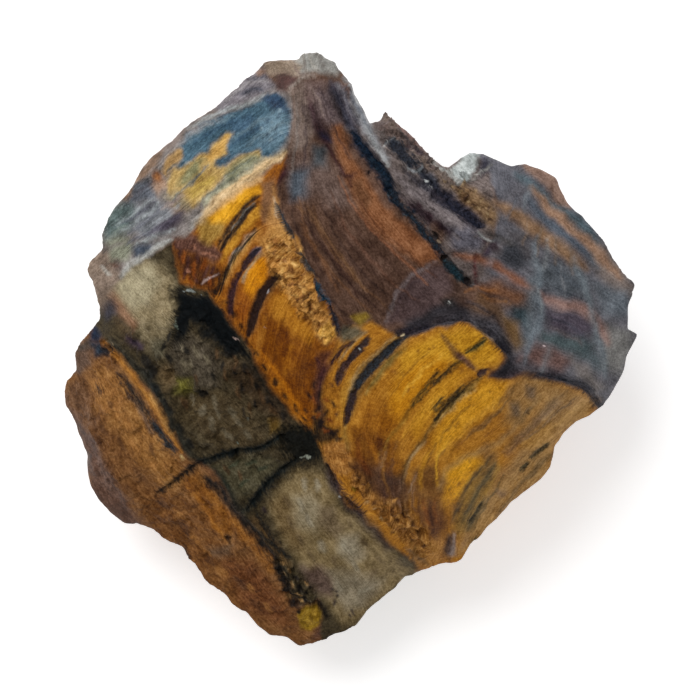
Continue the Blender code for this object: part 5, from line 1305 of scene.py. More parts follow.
        (326, 412, 5, 2, 80), (322, 424, 6, 3, 100), (332, 404, 4, 2, 70), (308, 396, 4, 2, 60),
        (331, 433, 6, 3, 20), (314, 419, 4, 2, 40), (338, 440, 4, 2, 150),
        (306, 410, 3, 1.6, 40)]),
    blots((124, 60, 18), 0.85, [
        (326, 401, 4, 1.8, 70), (318, 416, 3.5, 1.8, 100), (330, 421, 4, 2, 40),
        (322, 389, 4, 1.4, 110), (325, 432, 3, 1.6, 20), (313, 398, 3, 1.4, 70)]),
    blots((66, 34, 38), 0.8, [
        (323, 372, 7, 2, 110), (317, 362, 6, 1.8, 60), (331, 390, 6, 1.8, 100),
        (336, 414, 4, 1.6, 90)]),
    painted_glint((220, 200, 160), 1.5, [(404, 333), (401, 336)]),
    painted_glint((200, 204, 200), 1.2, [(359, 349), (361, 350)]),
]

# The areas of colour are all drawn before the marks; both lists are in drawing order.
REGIONS = [GROUND, LEDGE, QUARTZ, LEFT_SLOPE, SLATE, SLABS, COLUMN, GOLD_BAND, LOBES]
REGION_MARKS = [LEDGE_MARKS, QUARTZ_MARKS, LEFT_SLOPE_MARKS, SLATE_MARKS, COLUMN_MARKS,
                SLAB_MARKS, GOLD_BAND_MARKS, LOBES_MARKS]

# Curves that the fibres follow, side by side, in each part. The three numbers with each
# part say how strongly its fibres, its clouds and its crumbs show.
FIBRES = [
    ((0.8, 0.7, 0.2), LEFT_SLOPE_OUTLINE, [
        [(98, 306), (133, 266), (167, 243), (203, 218), (234, 193), (286, 153)],
        [(70, 262), (128, 215), (184, 168), (236, 128), (292, 84)],
    ]),
    ((0.5, 0.6, 0.1), COLUMN_OUTLINE, [
        [(286, 90), (284, 150), (277, 206), (288, 232), (304, 264), (322, 302), (336, 336)],
        [(316, 90), (322, 140), (332, 180), (350, 220), (378, 262), (408, 310)],
        [(332, 89), (337, 115), (352, 140), (371, 161), (390, 193), (417, 221), (451, 264)],
    ]),
    ((0.6, 0.7, 0.3), SLAB_OUTLINE, [
        [(332, 89), (337, 115), (352, 140), (371, 161), (390, 193), (417, 221), (472, 285)],
        [(346, 86), (364, 122), (388, 160), (420, 198), (452, 232), (486, 262)],
        [(386, 130), (410, 156), (435, 184), (466, 208), (500, 232)],
    ]),
    ((0.45, 0.6, 0.0), SLATE_OUTLINE, [
        [(457, 256), (496, 268), (523, 285), (547, 303), (573, 312), (602, 328)],
        [(482, 222), (511, 234), (545, 262), (576, 284), (614, 306)],
        [(497, 204), (525, 225), (553, 244), (575, 260), (622, 292)],
        [(531, 191), (551, 215), (576, 236), (604, 253), (632, 280)],
        [(401, 336), (455, 320), (490, 329), (513, 358), (545, 372), (585, 384), (604, 408)],
    ]),
    ((0.7, 0.45, 0.15), GOLD_BAND_OUTLINE, [
        [(256, 176), (238, 190), (222, 208), (206, 230), (194, 252), (186, 284)],
        [(262, 197), (248, 206), (237, 222), (226, 238), (218, 256), (210, 288)],
        [(261, 246), (250, 255), (240, 272), (234, 288), (231, 304), (231, 324)],
        [(285, 268), (270, 283), (260, 300), (254, 320), (251, 350)],
        [(318, 288), (302, 308), (290, 336), (284, 368), (285, 402)],
        [(336, 330), (324, 348), (315, 372), (311, 400), (312, 428)],
    ]),
    ((0.7, 0.45, 0.12), LOBES_OUTLINE, [
        [(400, 320), (372, 336), (352, 350), (340, 366), (334, 388), (332, 412), (335, 445),
         (345, 480)],
        [(440, 314), (405, 338), (388, 352), (369, 370), (355, 390), (349, 412), (350, 445),
         (362, 484)],
        [(506, 328), (466, 357), (443, 373), (421, 395), (402, 420), (386, 444), (378, 474),
         (384, 508)],
        [(526, 344), (487, 373), (463, 391), (443, 411), (428, 432), (410, 457), (401, 480),
         (404, 520)],
        [(540, 350), (511, 381), (491, 410), (464, 435), (447, 456), (436, 476), (428, 500),
         (430, 544)],
        [(568, 380), (536, 420), (515, 444), (494, 458), (474, 476), (460, 496), (451, 518),
         (446, 556)],
        [(622, 376), (592, 402), (567, 425), (546, 444), (530, 460), (505, 487), (482, 518),
         (464, 552)],
    ]),
    ((0.3, 0.6, 0.25), QUARTZ_OUTLINE, [
        [(96, 330), (135, 375), (170, 430), (215, 470), (250, 525), (300, 605)],
        [(160, 260), (208, 300), (255, 361), (311, 430), (346, 500), (420, 566)],
    ]),
]
# The ledge's come first and lie under all the other parts, so they need no outline.
LEDGE_TEXTURE = (0.4, 0.5, 0.15)
LEDGE_FIBRES = [
    [(96, 330), (135, 375), (170, 430), (215, 470), (250, 525), (300, 605)],
    [(64, 385), (88, 460), (130, 525), (200, 585), (270, 640)],
]


# ---------------------------------------------------------------- the refined mesh

WELD = 0.001  # mm: points closer than this become one
FINE_CUTS = 3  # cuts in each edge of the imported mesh
UNDER_CUTS = 1  # the same on the underside
UNDER_SLOPE = -0.3  # faces whose normal points further down than this are the underside
UPWARD = 0.02  # the least upward part of an upper face's normal
SAME_HEIGHT = 0.02  # mm between an upper face and the first surface that is met from above
RAY_START = 100.0  # mm above the floor
THIN_STREAK = 2.1  # streaks up to this width, in pixels, count as thin marks
MARK_REACH = 2.4  # edges closer than this to a thin mark, in pixels, are cut once more
ON_FLOOR = 0.02  # mm: points below this height lie on the resting face
SMOOTH_PASSES = 7
SMOOTH_SHARES = (0.5, -0.52)  # of the way to the neighbours' mean, out and back in each pass
FAR = 99.0  # a distance in pixels that means "not near any mark"
PLAIN_INK = tone(20, 20, 22)  # the colours where no mark has set one
PLAIN_GLINT = tone(200, 195, 180)


def vertex_places(mesh):
    """All vertices of a bmesh in mm."""
    return np.array([vertex.co for vertex in mesh.verts]) / MM


def mark_upper_faces(mesh):
    """A face layer that is 1 on the faces that nothing hides from above."""
    layer = mesh.faces.layers.int.new("upper")
    tree = BVHTree.FromBMesh(mesh)
    down = Vector((0, 0, -1))
    for face in mesh.faces:
        middle = face.calc_center_median()
        hit = tree.ray_cast(Vector((middle.x, middle.y, RAY_START * MM)), down)[0]
        seen = hit is not None and abs(hit.z - middle.z) < SAME_HEIGHT * MM
        face[layer] = int(face.normal.z > UPWARD and seen)
    return layer


def thin_lines():
    """The lines of all thin marks, with their half widths."""
    lines = []
    for marks in REGION_MARKS:
        for mark in marks:
            thin = mark["kind"] == "streak" and mark["width"] <= THIN_STREAK
            if thin or mark["kind"] in ("ink", "painted_glint"):
                lines.append((mark["points"], mark["width"] / 2))
    return lines


def needs_detail(spots):
    """True for the spots close to a thin mark or on a broken patch."""
    near = np.zeros(len(spots), bool)
    for marks in REGION_MARKS:
        for mark in marks:
            if mark["kind"] == "hackle":
                near |= inside(spots, mark["points"])
    for points, half in thin_lines():
        box = near_box(spots, points, half + MARK_REACH)
        far = line_distance(spots[box], points)[0]
        near[box[far < half + MARK_REACH]] = True
    return near


def refined_mesh(source):
    """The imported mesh, welded and cut fine, finest along the thin marks."""
    mesh = bmesh.new()
    mesh.from_mesh(source)
    bmesh.ops.remove_doubles(mesh, verts=mesh.verts, dist=WELD * MM)
    upper = mark_upper_faces(mesh)
    under = [edge for edge in mesh.edges
             if all(face.normal.z < UNDER_SLOPE for face in edge.link_faces)]
    coarse = set(under)
    rest = [edge for edge in mesh.edges if edge not in coarse]
    bmesh.ops.subdivide_edges(mesh, edges=under, cuts=UNDER_CUTS, use_grid_fill=True)
    rest = [edge for edge in rest if edge.is_valid]
    bmesh.ops.subdivide_edges(mesh, edges=rest, cuts=FINE_CUTS, use_grid_fill=True)
    mesh.verts.ensure_lookup_table()
    near = needs_detail(to_frame(vertex_places(mesh)))
    edges = [edge for edge in mesh.edges
             if near[edge.verts[0].index] and near[edge.verts[1].index]
             and any(face[upper] for face in edge.link_faces)]
    bmesh.ops.subdivide_edges(mesh, edges=edges, cuts=1, use_grid_fill=True)
    bmesh.ops.triangulate(mesh, faces=[face for face in mesh.faces if len(face.verts) > 3])
    mesh.verts.index_update()
    return mesh, upper


# The rim is drawn out at these places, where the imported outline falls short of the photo's:
# pixel u and v, pull to the right and down, and reach, all in pixels.
TUGS = [
    (452, 547, 7.0, 12.0, 17), (478, 540, 3.0, 6.0, 10), (430, 566, 0.0, 3.0, 10),
    (350, 620, 3.0, 5.0, 18), (300, 645, 0.0, 1.5, 14), (212, 582, -2.0, 3.0, 18),
    (236, 606, -1.5, 2.0, 12), (164, 536, -1.0, 2.0, 12), (88, 475, -2.5, 0.5, 22),
    (120, 522, -0.5, 1.5, 16), (66, 395, -1.5, 0.0, 16), (76, 352, -2.5, -0.5, 12),
    (89, 268, -4.0, 0.5, 12), (104, 215, -1.0, -0.8, 14), (190, 122, -2.0, -2.5, 20),
    (240, 82, -1.2, -1.8, 14), (148, 156, -0.8, -0.8, 14), (346, 80, 2.0, -1.0, 10),
    (386, 113, 0.0, -2.0, 5), (600, 244, 1.6, -1.2, 18), (636, 338, 2.5, 0.0, 8),
    (624, 366, 1.8, 0.8, 12), (634, 290, 0.8, 0.0, 10), (474, 150, 0.0, 1.0, 8),
    (546, 478, 1.0, 0.6, 8), (310, 52, 0.0, -0.6, 12),
]


def tug(places):
    """Pulls the outline by the tugs."""
    pixel = to_frame(places)
    pull = np.zeros_like(pixel)
    for u, v, right, down, reach in TUGS:
        far = np.hypot(pixel[:, 0] - u, pixel[:, 1] - v)
        pull += np.exp(-(far / reach)**2)[:, None] * np.array([right, -down])
    places[:, :2] += pull / PIXELS_PER_MM


class Skin:
    """The surface as arrays: places in mm, neighbours, and everything painted on it."""

    def __init__(self, mesh, upper):
        self.place = vertex_places(mesh)
        self.faces = np.array([[vertex.index for vertex in face.verts] for face in mesh.faces])
        edges = np.array([[vertex.index for vertex in edge.verts] for edge in mesh.edges])
        self.links = np.vstack([edges, edges[:, ::-1]])
        count = len(self.place)
        self.degree = np.bincount(self.links[:, 0], minlength=count)
        top_faces = np.array([face[upper] for face in mesh.faces], bool)
        is_top = np.zeros(count, bool)
        is_top[self.faces[top_faces].ravel()] = True
        self.top = np.flatnonzero(is_top)
        self.sides = np.flatnonzero(~is_top)
        self.paint = np.zeros((count, 3))
        self.ink = np.full(count, FAR)  # distance from the dark marks' edges, negative inside
        self.ink_paint = np.tile(PLAIN_INK, (count, 1))
        self.painted_glint = np.full(count, FAR)  # the same for the painted glints, flecks of painted highlight
        self.glint_colour = np.tile(PLAIN_GLINT, (count, 1))
        self.height = np.zeros(count)  # mm that the marks raise the surface
        self.fibre = np.zeros((count, 3))  # mm across and along the fibres, and their sheet
        self.texture = np.zeros((count, 3))  # how strongly fibres, clouds and crumbs show
        self.below_rim = np.zeros(count)  # mm

    def average(self, values):
        """Each vertex's three values replaced by the mean of its neighbours' values."""
        start, end = self.links.T
        columns = [np.bincount(start, values[end, i], len(values)) for i in range(3)]
        return np.column_stack(columns) / self.degree[:, None]

    def smooth(self, passes):
        """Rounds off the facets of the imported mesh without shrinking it."""
        flat = self.place[:, 2] < ON_FLOOR
        for _ in range(passes):
            for share in SMOOTH_SHARES:
                moved = self.place + share * (self.average(self.place) - self.place)
                self.place[~flat] = moved[~flat]

    def normals(self):
        """A unit vector out of the surface at each vertex."""
        a, b, c = (self.place[self.faces[:, i]] for i in range(3))
        across = np.cross(b - a, c - a)
        total = np.zeros_like(self.place)
        for corner in range(3):
            for axis in range(3):
                total[:, axis] += np.bincount(self.faces[:, corner], across[:, axis],
                                              len(self.place))
        return total / np.linalg.norm(total, axis=1)[:, None]


# ---------------------------------------------------------------- drawing the marks

RAGGED_SHIFT = 2.6  # pixels by which noise frays areas and wide strokes
RAGGED_WAVE = 16  # pixels, the longest wave of that noise
STEADY_SHIFT = 0.7  # the same two for thin strokes
STEADY_WAVE = 5
TAPER = 0.75  # share of its width that a stroke loses at its very ends
TAPER_POWER = 4  # the higher, the nearer to its ends a stroke starts to thin out
STROKE_REACH = 6  # pixels beyond its width in which a thin stroke is drawn
POOL_REACH = 8  # pixels beyond its outline in which a pool is drawn
CARVED_EDGE = 1.2  # pixels on either side of a dark mark's edge over which its depth fades
BLOT_CORE = 0.6  # a blot is solid up to this share of its size
BLOT_RIM = 1.3  # and gone at this one
BLOT_REACH = 1.6  # share of its half length in which it is drawn
CHIP_WARP = 0.2  # share of their length by which noise bends the chips of a broken patch
SMALL_CHIPS = 0.45  # length of the small chips as a share of the large ones'
CALM_RIM = (0.1, 0.8)  # mm from the walls between which a broken patch sets in
CRUMBS_OVER_SILK = 0.7  # share of the fibres that full crumbs hide


def taper(along, whole):
    """The share of a stroke's width that is left towards its ends."""
    place = np.abs(2 * along / whole - 1)
    return 1 - TAPER * place**TAPER_POWER


class Brush:
    """Draws marks on the upper side of a skin, one method for each kind of mark."""

    def __init__(self, skin):
        self.skin = skin
        self.ids = skin.top
        self.place = skin.place[self.ids]
        self.from_rim = nearest(skin.place[skin.sides], self.place)[1]
        pixel = to_frame(self.place)
        flat = with_zero(pixel)
        coarse = [rough_noise(flat, RAGGED_WAVE, octaves=4, seed=seed) for seed in (3, 5)]
        fine = [rough_noise(flat, STEADY_WAVE, octaves=2, seed=seed) for seed in (7, 9)]
        self.ragged = pixel + RAGGED_SHIFT * np.column_stack(coarse)
        self.steady = pixel + STEADY_SHIFT * np.column_stack(fine)

    def cover(self, near, amount, colour):
        """Mixes a colour over the paint."""
        ids = self.ids[near]
        amount = amount[:, None]
        self.skin.paint[ids] = self.skin.paint[ids] * (1 - amount) + colour * amount

    def from_area(self, mark, reach):
        """The points near an area and their frayed distance from its outline."""
        near = near_box(self.ragged, mark["points"], reach)
        return near, area_distance(self.ragged[near], mark["points"])

    def from_stroke(self, spots, mark, reach):
        """The points near a tapered stroke and their distance from its edge."""
        near = near_box(spots, mark["points"], mark["width"] + reach)
        far, _, along, whole = line_distance(spots[near], mark["points"])
        return near, far - mark["width"] / 2 * taper(along, whole)

    def wash(self, mark):
        near, far = self.from_area(mark, 2 * mark["edge"])
        amount = mark["strength"] * fade(mark["edge"], -mark["edge"], far)
        self.cover(near, amount, mark["colour"])

    def streak(self, mark):
        near, far = self.from_stroke(self.ragged, mark, mark["edge"])
        amount = mark["strength"] * fade(mark["edge"], -mark["edge"], far)
        self.cover(near, amount, mark["colour"])

    def lay_ink(self, near, far, mark):
        """Notes the nearest dark mark and carves it in."""
        ids = self.ids[near]
        depth = far / mark["ragged"]
        closer = depth < self.skin.ink[ids]
        self.skin.ink[ids[closer]] = depth[closer]
        self.skin.ink_paint[ids[closer]] = mark["colour"]
        self.skin.height[ids] -= mark["depth"] * fade(CARVED_EDGE, -CARVED_EDGE, far)

    def ink(self, mark):
        near, far = self.from_stroke(self.steady, mark, STROKE_REACH)
        self.lay_ink(near, far, mark)

    def pool(self, mark):
        near, far = self.from_area(mark, POOL_REACH)
        self.lay_ink(near, far, mark)

    # Painted glints: flecks of painted highlight. Each spot keeps the nearest one's distance and
    # colour.
    def painted_glint(self, mark):
        near, far = self.from_stroke(self.steady, mark, STROKE_REACH)
        ids = self.ids[near]
        closer = far < self.skin.painted_glint[ids]
        self.skin.painted_glint[ids[closer]] = far[closer]
        self.skin.glint_colour[ids[closer]] = mark["colour"]

    def blots(self, mark):
        for u, v, long, short, angle in mark["spots"]:
            middle = np.array([(u, v)], float)
            near = near_box(self.ragged, middle, BLOT_REACH * long)
            off = self.ragged[near] - middle
            turn = math.radians(angle)
            lengthwise = off @ np.array([math.cos(turn), math.sin(turn)])
            crosswise = off @ np.array([-math.sin(turn), math.cos(turn)])
            far = np.hypot(lengthwise / long, crosswise / short)
            self.cover(near, mark["strength"] * fade(BLOT_RIM, BLOT_CORE, far), mark["colour"])

    def hackle(self, mark):
        near, far = self.from_area(mark, 2 * mark["edge"])
        amount = fade(mark["edge"], -mark["edge"], far)
        length = mark["length"]
        place = self.place[near]
        place = place + CHIP_WARP * length * rough_noise(place, length, 2, seed=43)[:, None]
        chips = facet_noise(place, length, seed=41)
        chips = chips + facet_noise(place, SMALL_CHIPS * length, seed=42)
        calm = fade(*CALM_RIM, self.from_rim[near])
        ids = self.ids[near]
        self.skin.height[ids] += amount * calm * mark["height"] * chips
        texture = self.skin.texture
        texture[ids, 2] = np.maximum(texture[ids, 2], amount * mark["crumbs"])
        texture[ids, 0] *= 1 - CRUMBS_OVER_SILK * amount * mark["crumbs"]

    def draw(self, marks):
        """Draws the marks in their order, each by the method that is named as its kind."""
        for mark in marks:
            getattr(self, mark["kind"])(mark)


FIBRE_SOFTNESS = 1.4  # pixels: the higher, the more evenly neighbouring curves are blended
FIBRE_POWER = 3  # the higher, the more the nearest curve counts
SHEET_SHIFT = 7.0  # mm in the noise between the fibres of one part and those of the next


def fibre_place(spots, curves):
    """How far across and along a set of side-by-side curves each spot lies, in pixels."""
    total = np.zeros(len(spots))
    across = np.zeros(len(spots))
    along = np.zeros(len(spots))
    offset = 0.0
    last = None
    for middle in [curve(points) for points in curves]:
        if last is not None:
            offset += line_distance(middle[len(middle) // 2][None], last)[0][0]
        far, side, travelled, _ = line_distance(spots, middle)
        weight = 1 / (far + FIBRE_SOFTNESS) ** FIBRE_POWER
        across += weight * (offset + far * side)
        along += weight * travelled
        total += weight
        last = middle
    return across / total, along / total


def comb_fibres(skin, brush):
    """Lays the fibre coordinates and the textures' strengths over the upper side."""
    pixel = to_frame(brush.place)
    parts = [(LEDGE_TEXTURE, None, LEDGE_FIBRES)] + FIBRES
    for number, (texture, outline, curves) in enumerate(parts):
        if outline is None:
            near = np.arange(len(pixel))
        else:
            near = np.flatnonzero(inside(brush.ragged, np.array(outline, float)))
        across, along = fibre_place(pixel[near], curves)
        ids = skin.top[near]
        skin.fibre[ids, 0] = across / PIXELS_PER_MM
        skin.fibre[ids, 1] = along / PIXELS_PER_MM
        skin.fibre[ids, 2] = SHEET_SHIFT * number
        skin.texture[ids] = texture


# ---------------------------------------------------------------- the walls and the underside

LAYER_HEADING = (0.8, 0.6)  # the layers follow one another in this direction
LAYERS = [
    # place along the heading in mm, colour, strength of the fibres
    (-60.0, (118, 78, 46), 0.3),
    (-26.0, (134, 88, 48), 0.3),
    (-22.0, (120, 76, 42), 0.3),
    (-20.6, (92, 84, 60), 0.1),
    (-14.0, (112, 104, 76), 0.1),
    (-11.6, (62, 60, 44), 0.1),
    (-10.4, (20, 22, 22), 0.3),
    (-9.4, (34, 28, 22), 0.6),
    (-8.6, (138, 84, 26), 1.0),
    (-4.5, (164, 106, 34), 1.0),
    (-3.9, (64, 44, 30), 0.8),
    (-3.2, (146, 92, 30), 1.0),
    (0.8, (158, 100, 34), 1.0),
    (1.5, (42, 32, 30), 0.8),
    (2.2, (112, 74, 52), 0.5),
    (8.0, (100, 70, 58), 0.4),
    (9.6, (140, 86, 54), 0.4),
    (11.5, (96, 66, 56), 0.4),
    (13.8, (92, 70, 66), 0.4),
    (14.5, (26, 34, 44), 0.4),
    (15.3, (104, 94, 92), 0.4),
    (18.0, (84, 74, 74), 0.4),
    (19.0, (40, 42, 52), 0.3),
    (20.0, (92, 90, 94), 0.3),
    (23.0, (124, 94, 74), 0.3),
    (24.2, (74, 72, 76), 0.3),
    (27.5, (128, 100, 84), 0.3),
    (29.0, (84, 88, 98), 0.3),
    (34.0, (110, 98, 96), 0.3),
    (60.0, (92, 90, 94), 0.3),
]
LAYER_LEAN = 0.16  # mm along the heading that the layers shift for each mm further down
LAYER_WARP = 2.2  # mm by which noise bends them
LAYER_STAIN = 0.35  # how strongly noise lightens and darkens them
BEND_PLACE = (26.0, -9.0)  # mm: x and y around which the layers bend
BEND_SHIFT = 18.0  # mm: there the walls show the layers from this much further back
BEND_REACH = 9.0  # mm
RIM_BLEND = 2.6  # mm down the walls at which the rim's colours have given way
RIM_FRAY = 1.6  # mm by which noise frays their lower edge
INK_RETREAT = 6  # pixels by which dark marks draw back for each mm down the walls
WALL_ACROSS = 0.7  # how fast the walls' fibre coordinates change: along the heading,
WALL_DRIFT = 2.0  # with noise,
WALL_ALONG = 3.0  # and along the walls' own grain
WALL_GRAIN = (-0.4, 0.5, 0.76)
WALL_SHEET = 100.0  # mm in the noise between the walls' fibres and those of the upper side
WALL_SILK = 0.5  # share of a layer's fibres that shows on the walls
WALL_CLOUDS = 1.0
WALL_CRUMBS = 0.4


def layer_place(place):
    """How far along the sequence of layers each place lies, in mm."""
    warp = rough_noise(place, length=14, octaves=4, seed=61)
    along = place[:, :2] @ np.array(LAYER_HEADING)
    along = along - LAYER_LEAN * (REFERENCE_HEIGHT - place[:, 2]) + LAYER_WARP * warp
    from_bend = np.hypot(place[:, 0] - BEND_PLACE[0], place[:, 1] - BEND_PLACE[1])
    return along - BEND_SHIFT * np.exp(-(from_bend / BEND_REACH)**2)


def paint_sides(skin):
    """Continues the layers down the walls and across the underside."""
    ids = skin.sides
    place = skin.place[ids]
    along = layer_place(place)
    stops = np.array([stop[0] for stop in LAYERS])
    colours = np.array([tone(*stop[1]) for stop in LAYERS])
    strengths = np.array([stop[2] for stop in LAYERS])
    layered = np.column_stack([np.interp(along, stops, channel) for channel in colours.T])
    layered *= (1 + LAYER_STAIN * rough_noise(place, length=9, octaves=4, seed=67))[:, None]

    number, away = nearest(skin.place[skin.top], place)
    rim = skin.top[number]
    frayed = away + RIM_FRAY * rough_noise(place, length=3.0, octaves=3, seed=71)
    share = fade(RIM_BLEND, 0.5 * RIM_BLEND, frayed)[:, None]
    skin.paint[ids] = layered * (1 - share) + skin.paint[rim] * share
    skin.ink[ids] = skin.ink[rim] + INK_RETREAT * away
    skin.ink_paint[ids] = skin.ink_paint[rim]
    skin.below_rim[ids] = away

    drift = rough_noise(place, length=22, octaves=2, seed=63)
    across = WALL_ACROSS * place[:, :2] @ np.array(LAYER_HEADING) + WALL_DRIFT * drift
    skin.fibre[ids, 0] = across
    skin.fibre[ids, 1] = WALL_ALONG * place @ np.array(WALL_GRAIN)
    skin.fibre[ids, 2] = WALL_SHEET
    skin.texture[ids, 0] = WALL_SILK * np.interp(along, stops, strengths)
    skin.texture[ids, 1] = WALL_CLOUDS
    skin.texture[ids, 2] = WALL_CRUMBS


# ---------------------------------------------------------------- relief
# Heights are mm for noise that goes from about -1 to 1, lengths are mm too.

RIB_STRETCH = (2.2, 0.16, 1.0)  # the ribs run along the fibres, so this is far from even
RIB_HEIGHT = 0.06  # where the fibres show fully
GRAIN_HEIGHT = 0.04
CRUMB_HEIGHT = 0.10  # is added to the grain where the crumbs show fully
SWELL_HEIGHT = 0.06
CLOUD_HEIGHT = 0.10  # is added to the swell where the clouds show fully
FACET_WARP = 0.8  # how far noise bends the facets of the walls
LARGE_FACETS = 5.0  # length
LARGE_TILT = 0.55
SMALL_FACETS = 2.4
SMALL_TILT = 0.3
FACET_LIMITS = (-1.4, 0.05)  # how far the facets may go in and stand out
FACET_START = (0.3, 3.0)  # mm below the rim between which the facets set in
FOOT = 1.2  # mm above the floor from which the relief is full
OVERHANG = 1.0  # pixels by which a wall may stick out beyond the rim
SPIKE = 0.25  # mm by which a point of a wall may stand out among its neighbours
SPIKE_PASSES = 16
SPIKE_RETREAT = 0.9  # share of the way back among its neighbours in each pass


def carve(skin):
    """Moves the surface along its normals by the drawn heights and by natural roughness."""
    place = skin.place
    ribs = rough_noise(skin.fibre * np.array(RIB_STRETCH), length=1.0, octaves=3, seed=23)
    grain = rough_noise(place, length=1.6, octaves=3, seed=29)
    swell = rough_noise(place, length=6.0, octaves=2, seed=31)
    silk, clouds, crumbs = skin.texture.T
    height = skin.height + RIB_HEIGHT * silk * ribs
    height += (GRAIN_HEIGHT + CRUMB_HEIGHT * crumbs) * grain
    height += (SWELL_HEIGHT + CLOUD_HEIGHT * clouds) * swell
    warp = rough_noise(place, length=3.0, octaves=2, seed=39)[:, None]
    shifted = place + FACET_WARP * warp
    facets = LARGE_TILT * facet_noise(shifted, LARGE_FACETS, seed=37)
    facets = facets + SMALL_TILT * facet_noise(shifted, SMALL_FACETS, seed=38)
    height += fade(*FACET_START, skin.below_rim) * np.clip(facets, *FACET_LIMITS)
    share = fade(ON_FLOOR, FOOT, place[:, 2])
    skin.place = place + skin.normals() * (height * share)[:, None]
    skin.place[:, 2] = np.maximum(skin.place[:, 2], 0)


def tuck_in(skin):
    """Pulls the parts of the walls that stick out beyond the rim back under it."""
    upper = to_frame(skin.place[skin.top])
    pixel = to_frame(skin.place[skin.sides])
    number, away = nearest(with_zero(upper), with_zero(pixel))
    share = np.clip(1 - OVERHANG / np.maximum(away, OVERHANG), 0, 1)
    move = (upper[number] - pixel) * share[:, None] / PIXELS_PER_MM
    skin.place[skin.sides, 0] += move[:, 0]
    skin.place[skin.sides, 1] -= move[:, 1]


def blunt_spikes(skin):
    """Moves the points of the walls that stand out sharply back among their neighbours."""
    sides = np.zeros(len(skin.place), bool)
    sides[skin.sides] = True
    for _ in range(SPIKE_PASSES):
        offset = skin.average(skin.place) - skin.place
        off_floor = skin.place[:, 2] > ON_FLOOR
        sharp = sides & off_floor & (np.linalg.norm(offset, axis=1) > SPIKE)
        skin.place[sharp] += SPIKE_RETREAT * offset[sharp]


# ---------------------------------------------------------------- the finished piece

def store(mesh, name, kind, field, values):
    """Writes one value per vertex into a named attribute."""
    layer = mesh.attributes.new(name, kind, "POINT")
    layer.data.foreach_set(field, np.ascontiguousarray(values, dtype=np.float32).ravel())


def store_colour(mesh, name, colours):
    """Writes one opaque colour per vertex into a named attribute."""
    store(mesh, name, "FLOAT_COLOR", "color", np.column_stack([colours, np.ones(len(colours))]))


def build_stone(source):
    """The finished stone as a new object."""
    refined, upper = refined_mesh(source)
    skin = Skin(refined, upper)
    skin.smooth(SMOOTH_PASSES)
    tug(skin.place)
    brush = Brush(skin)
    comb_fibres(skin, brush)
    for marks in REGIONS + REGION_MARKS:
        brush.draw(marks)
    paint_sides(skin)
    carve(skin)
    tuck_in(skin)
    blunt_spikes(skin)

    mesh = bpy.data.meshes.new("tigers_eye_finish")
    refined.to_mesh(mesh)
    refined.free()
    mesh.vertices.foreach_set("co", (skin.place * MM).astype(np.float32).ravel())
    mesh.update()
    mesh.attributes.remove(mesh.attributes["upper"])
    store_colour(mesh, "paint", skin.paint)
    store_colour(mesh, "ink_paint", skin.ink_paint)
    store_colour(mesh, "glint_colour", skin.glint_colour)
    store(mesh, "fibre", "FLOAT_VECTOR", "vector", skin.fibre)
    store(mesh, "texture", "FLOAT_VECTOR", "vector", skin.texture)
    store(mesh, "ink", "FLOAT", "value", np.clip(skin.ink, -FAR, FAR))
    store(mesh, "painted_glint", "FLOAT", "value", np.clip(skin.painted_glint, -FAR, FAR))
    mesh.polygons.foreach_set("use_smooth", np.ones(len(mesh.polygons), bool))
    stone = bpy.data.objects.new("tigers_eye_finish", mesh)
    bpy.context.scene.collection.objects.link(stone)
    return stone


# ---------------------------------------------------------------- the material

class Nodes:
    """Short calls that add and join the nodes of one material."""

    def __init__(self, material):
        material.use_nodes = True
        self.tree = material.node_tree
        self.tree.nodes.clear()

    def add(self, kind, inputs=(), **settings):
        node = self.tree.nodes.new(kind)
        for name, value in settings.items():
            setattr(node, name, value)
        for key, value in dict(inputs).items():
            if isinstance(value, bpy.types.NodeSocket):
                self.tree.links.new(value, node.inputs[key])
            else:
                node.inputs[key].default_value = value
        return node

    def read(self, name, output):
        return self.add("ShaderNodeAttribute", attribute_name=name).outputs[output]

    def math(self, operation, a, b=0.0, c=0.0):
        return self.add("ShaderNodeMath", {0: a, 1: b, 2: c}, operation=operation).outputs[0]

    def plus(self, a, b):
        return self.math("ADD", a, b)

    def times(self, a, b, plus=None):
        """The product of two values, with a third one added if there is one."""
        if plus is None:
            return self.math("MULTIPLY", a, b)
        return self.math("MULTIPLY_ADD", a, b, plus)

    def vector(self, operation, a, b):
        return self.add("ShaderNodeVectorMath", {0: a, 1: b}, operation=operation).outputs[0]

    def brighter(self, colour, factor):
        """A colour times a value."""
        return self.add("ShaderNodeVectorMath", {0: colour, "Scale": factor},
                        operation="SCALE").outputs[0]

    def mix(self, share, a, b):
        node = self.add("ShaderNodeMix", {0: share, 6: a, 7: b}, data_type="RGBA")
        return node.outputs[2]

    def noise(self, place, scale, octaves, roughness):
        return self.add("ShaderNodeTexNoise", {
            "Vector": place, "Scale": scale, "Detail": octaves, "Roughness": roughness,
        }).outputs["Fac"]

    def fibre_noise(self, fibre, stretch, octaves, roughness):
        return self.noise(self.vector("MULTIPLY", fibre, stretch), 1.0, octaves, roughness)

    def spread(self, place, scale, size):
        """A smooth random offset of up to half the size each way."""
        offset = self.add("ShaderNodeTexNoise", {
            "Vector": place, "Scale": scale, "Detail": SPREAD_OCTAVES,
        }).outputs["Color"]
        offset = self.vector("SUBTRACT", offset, (0.5, 0.5, 0.5))
        return self.vector("MULTIPLY", offset, (size, size, size))

    def ramp(self, value, low, high, start=0.0, end=1.0):
        """Goes smoothly from start to end while the value goes from low to high."""
        return self.add("ShaderNodeMapRange", {
            "Value": value, "From Min": low, "From Max": high, "To Min": start, "To Max": end,
        }, interpolation_type="SMOOTHSTEP").outputs[0]


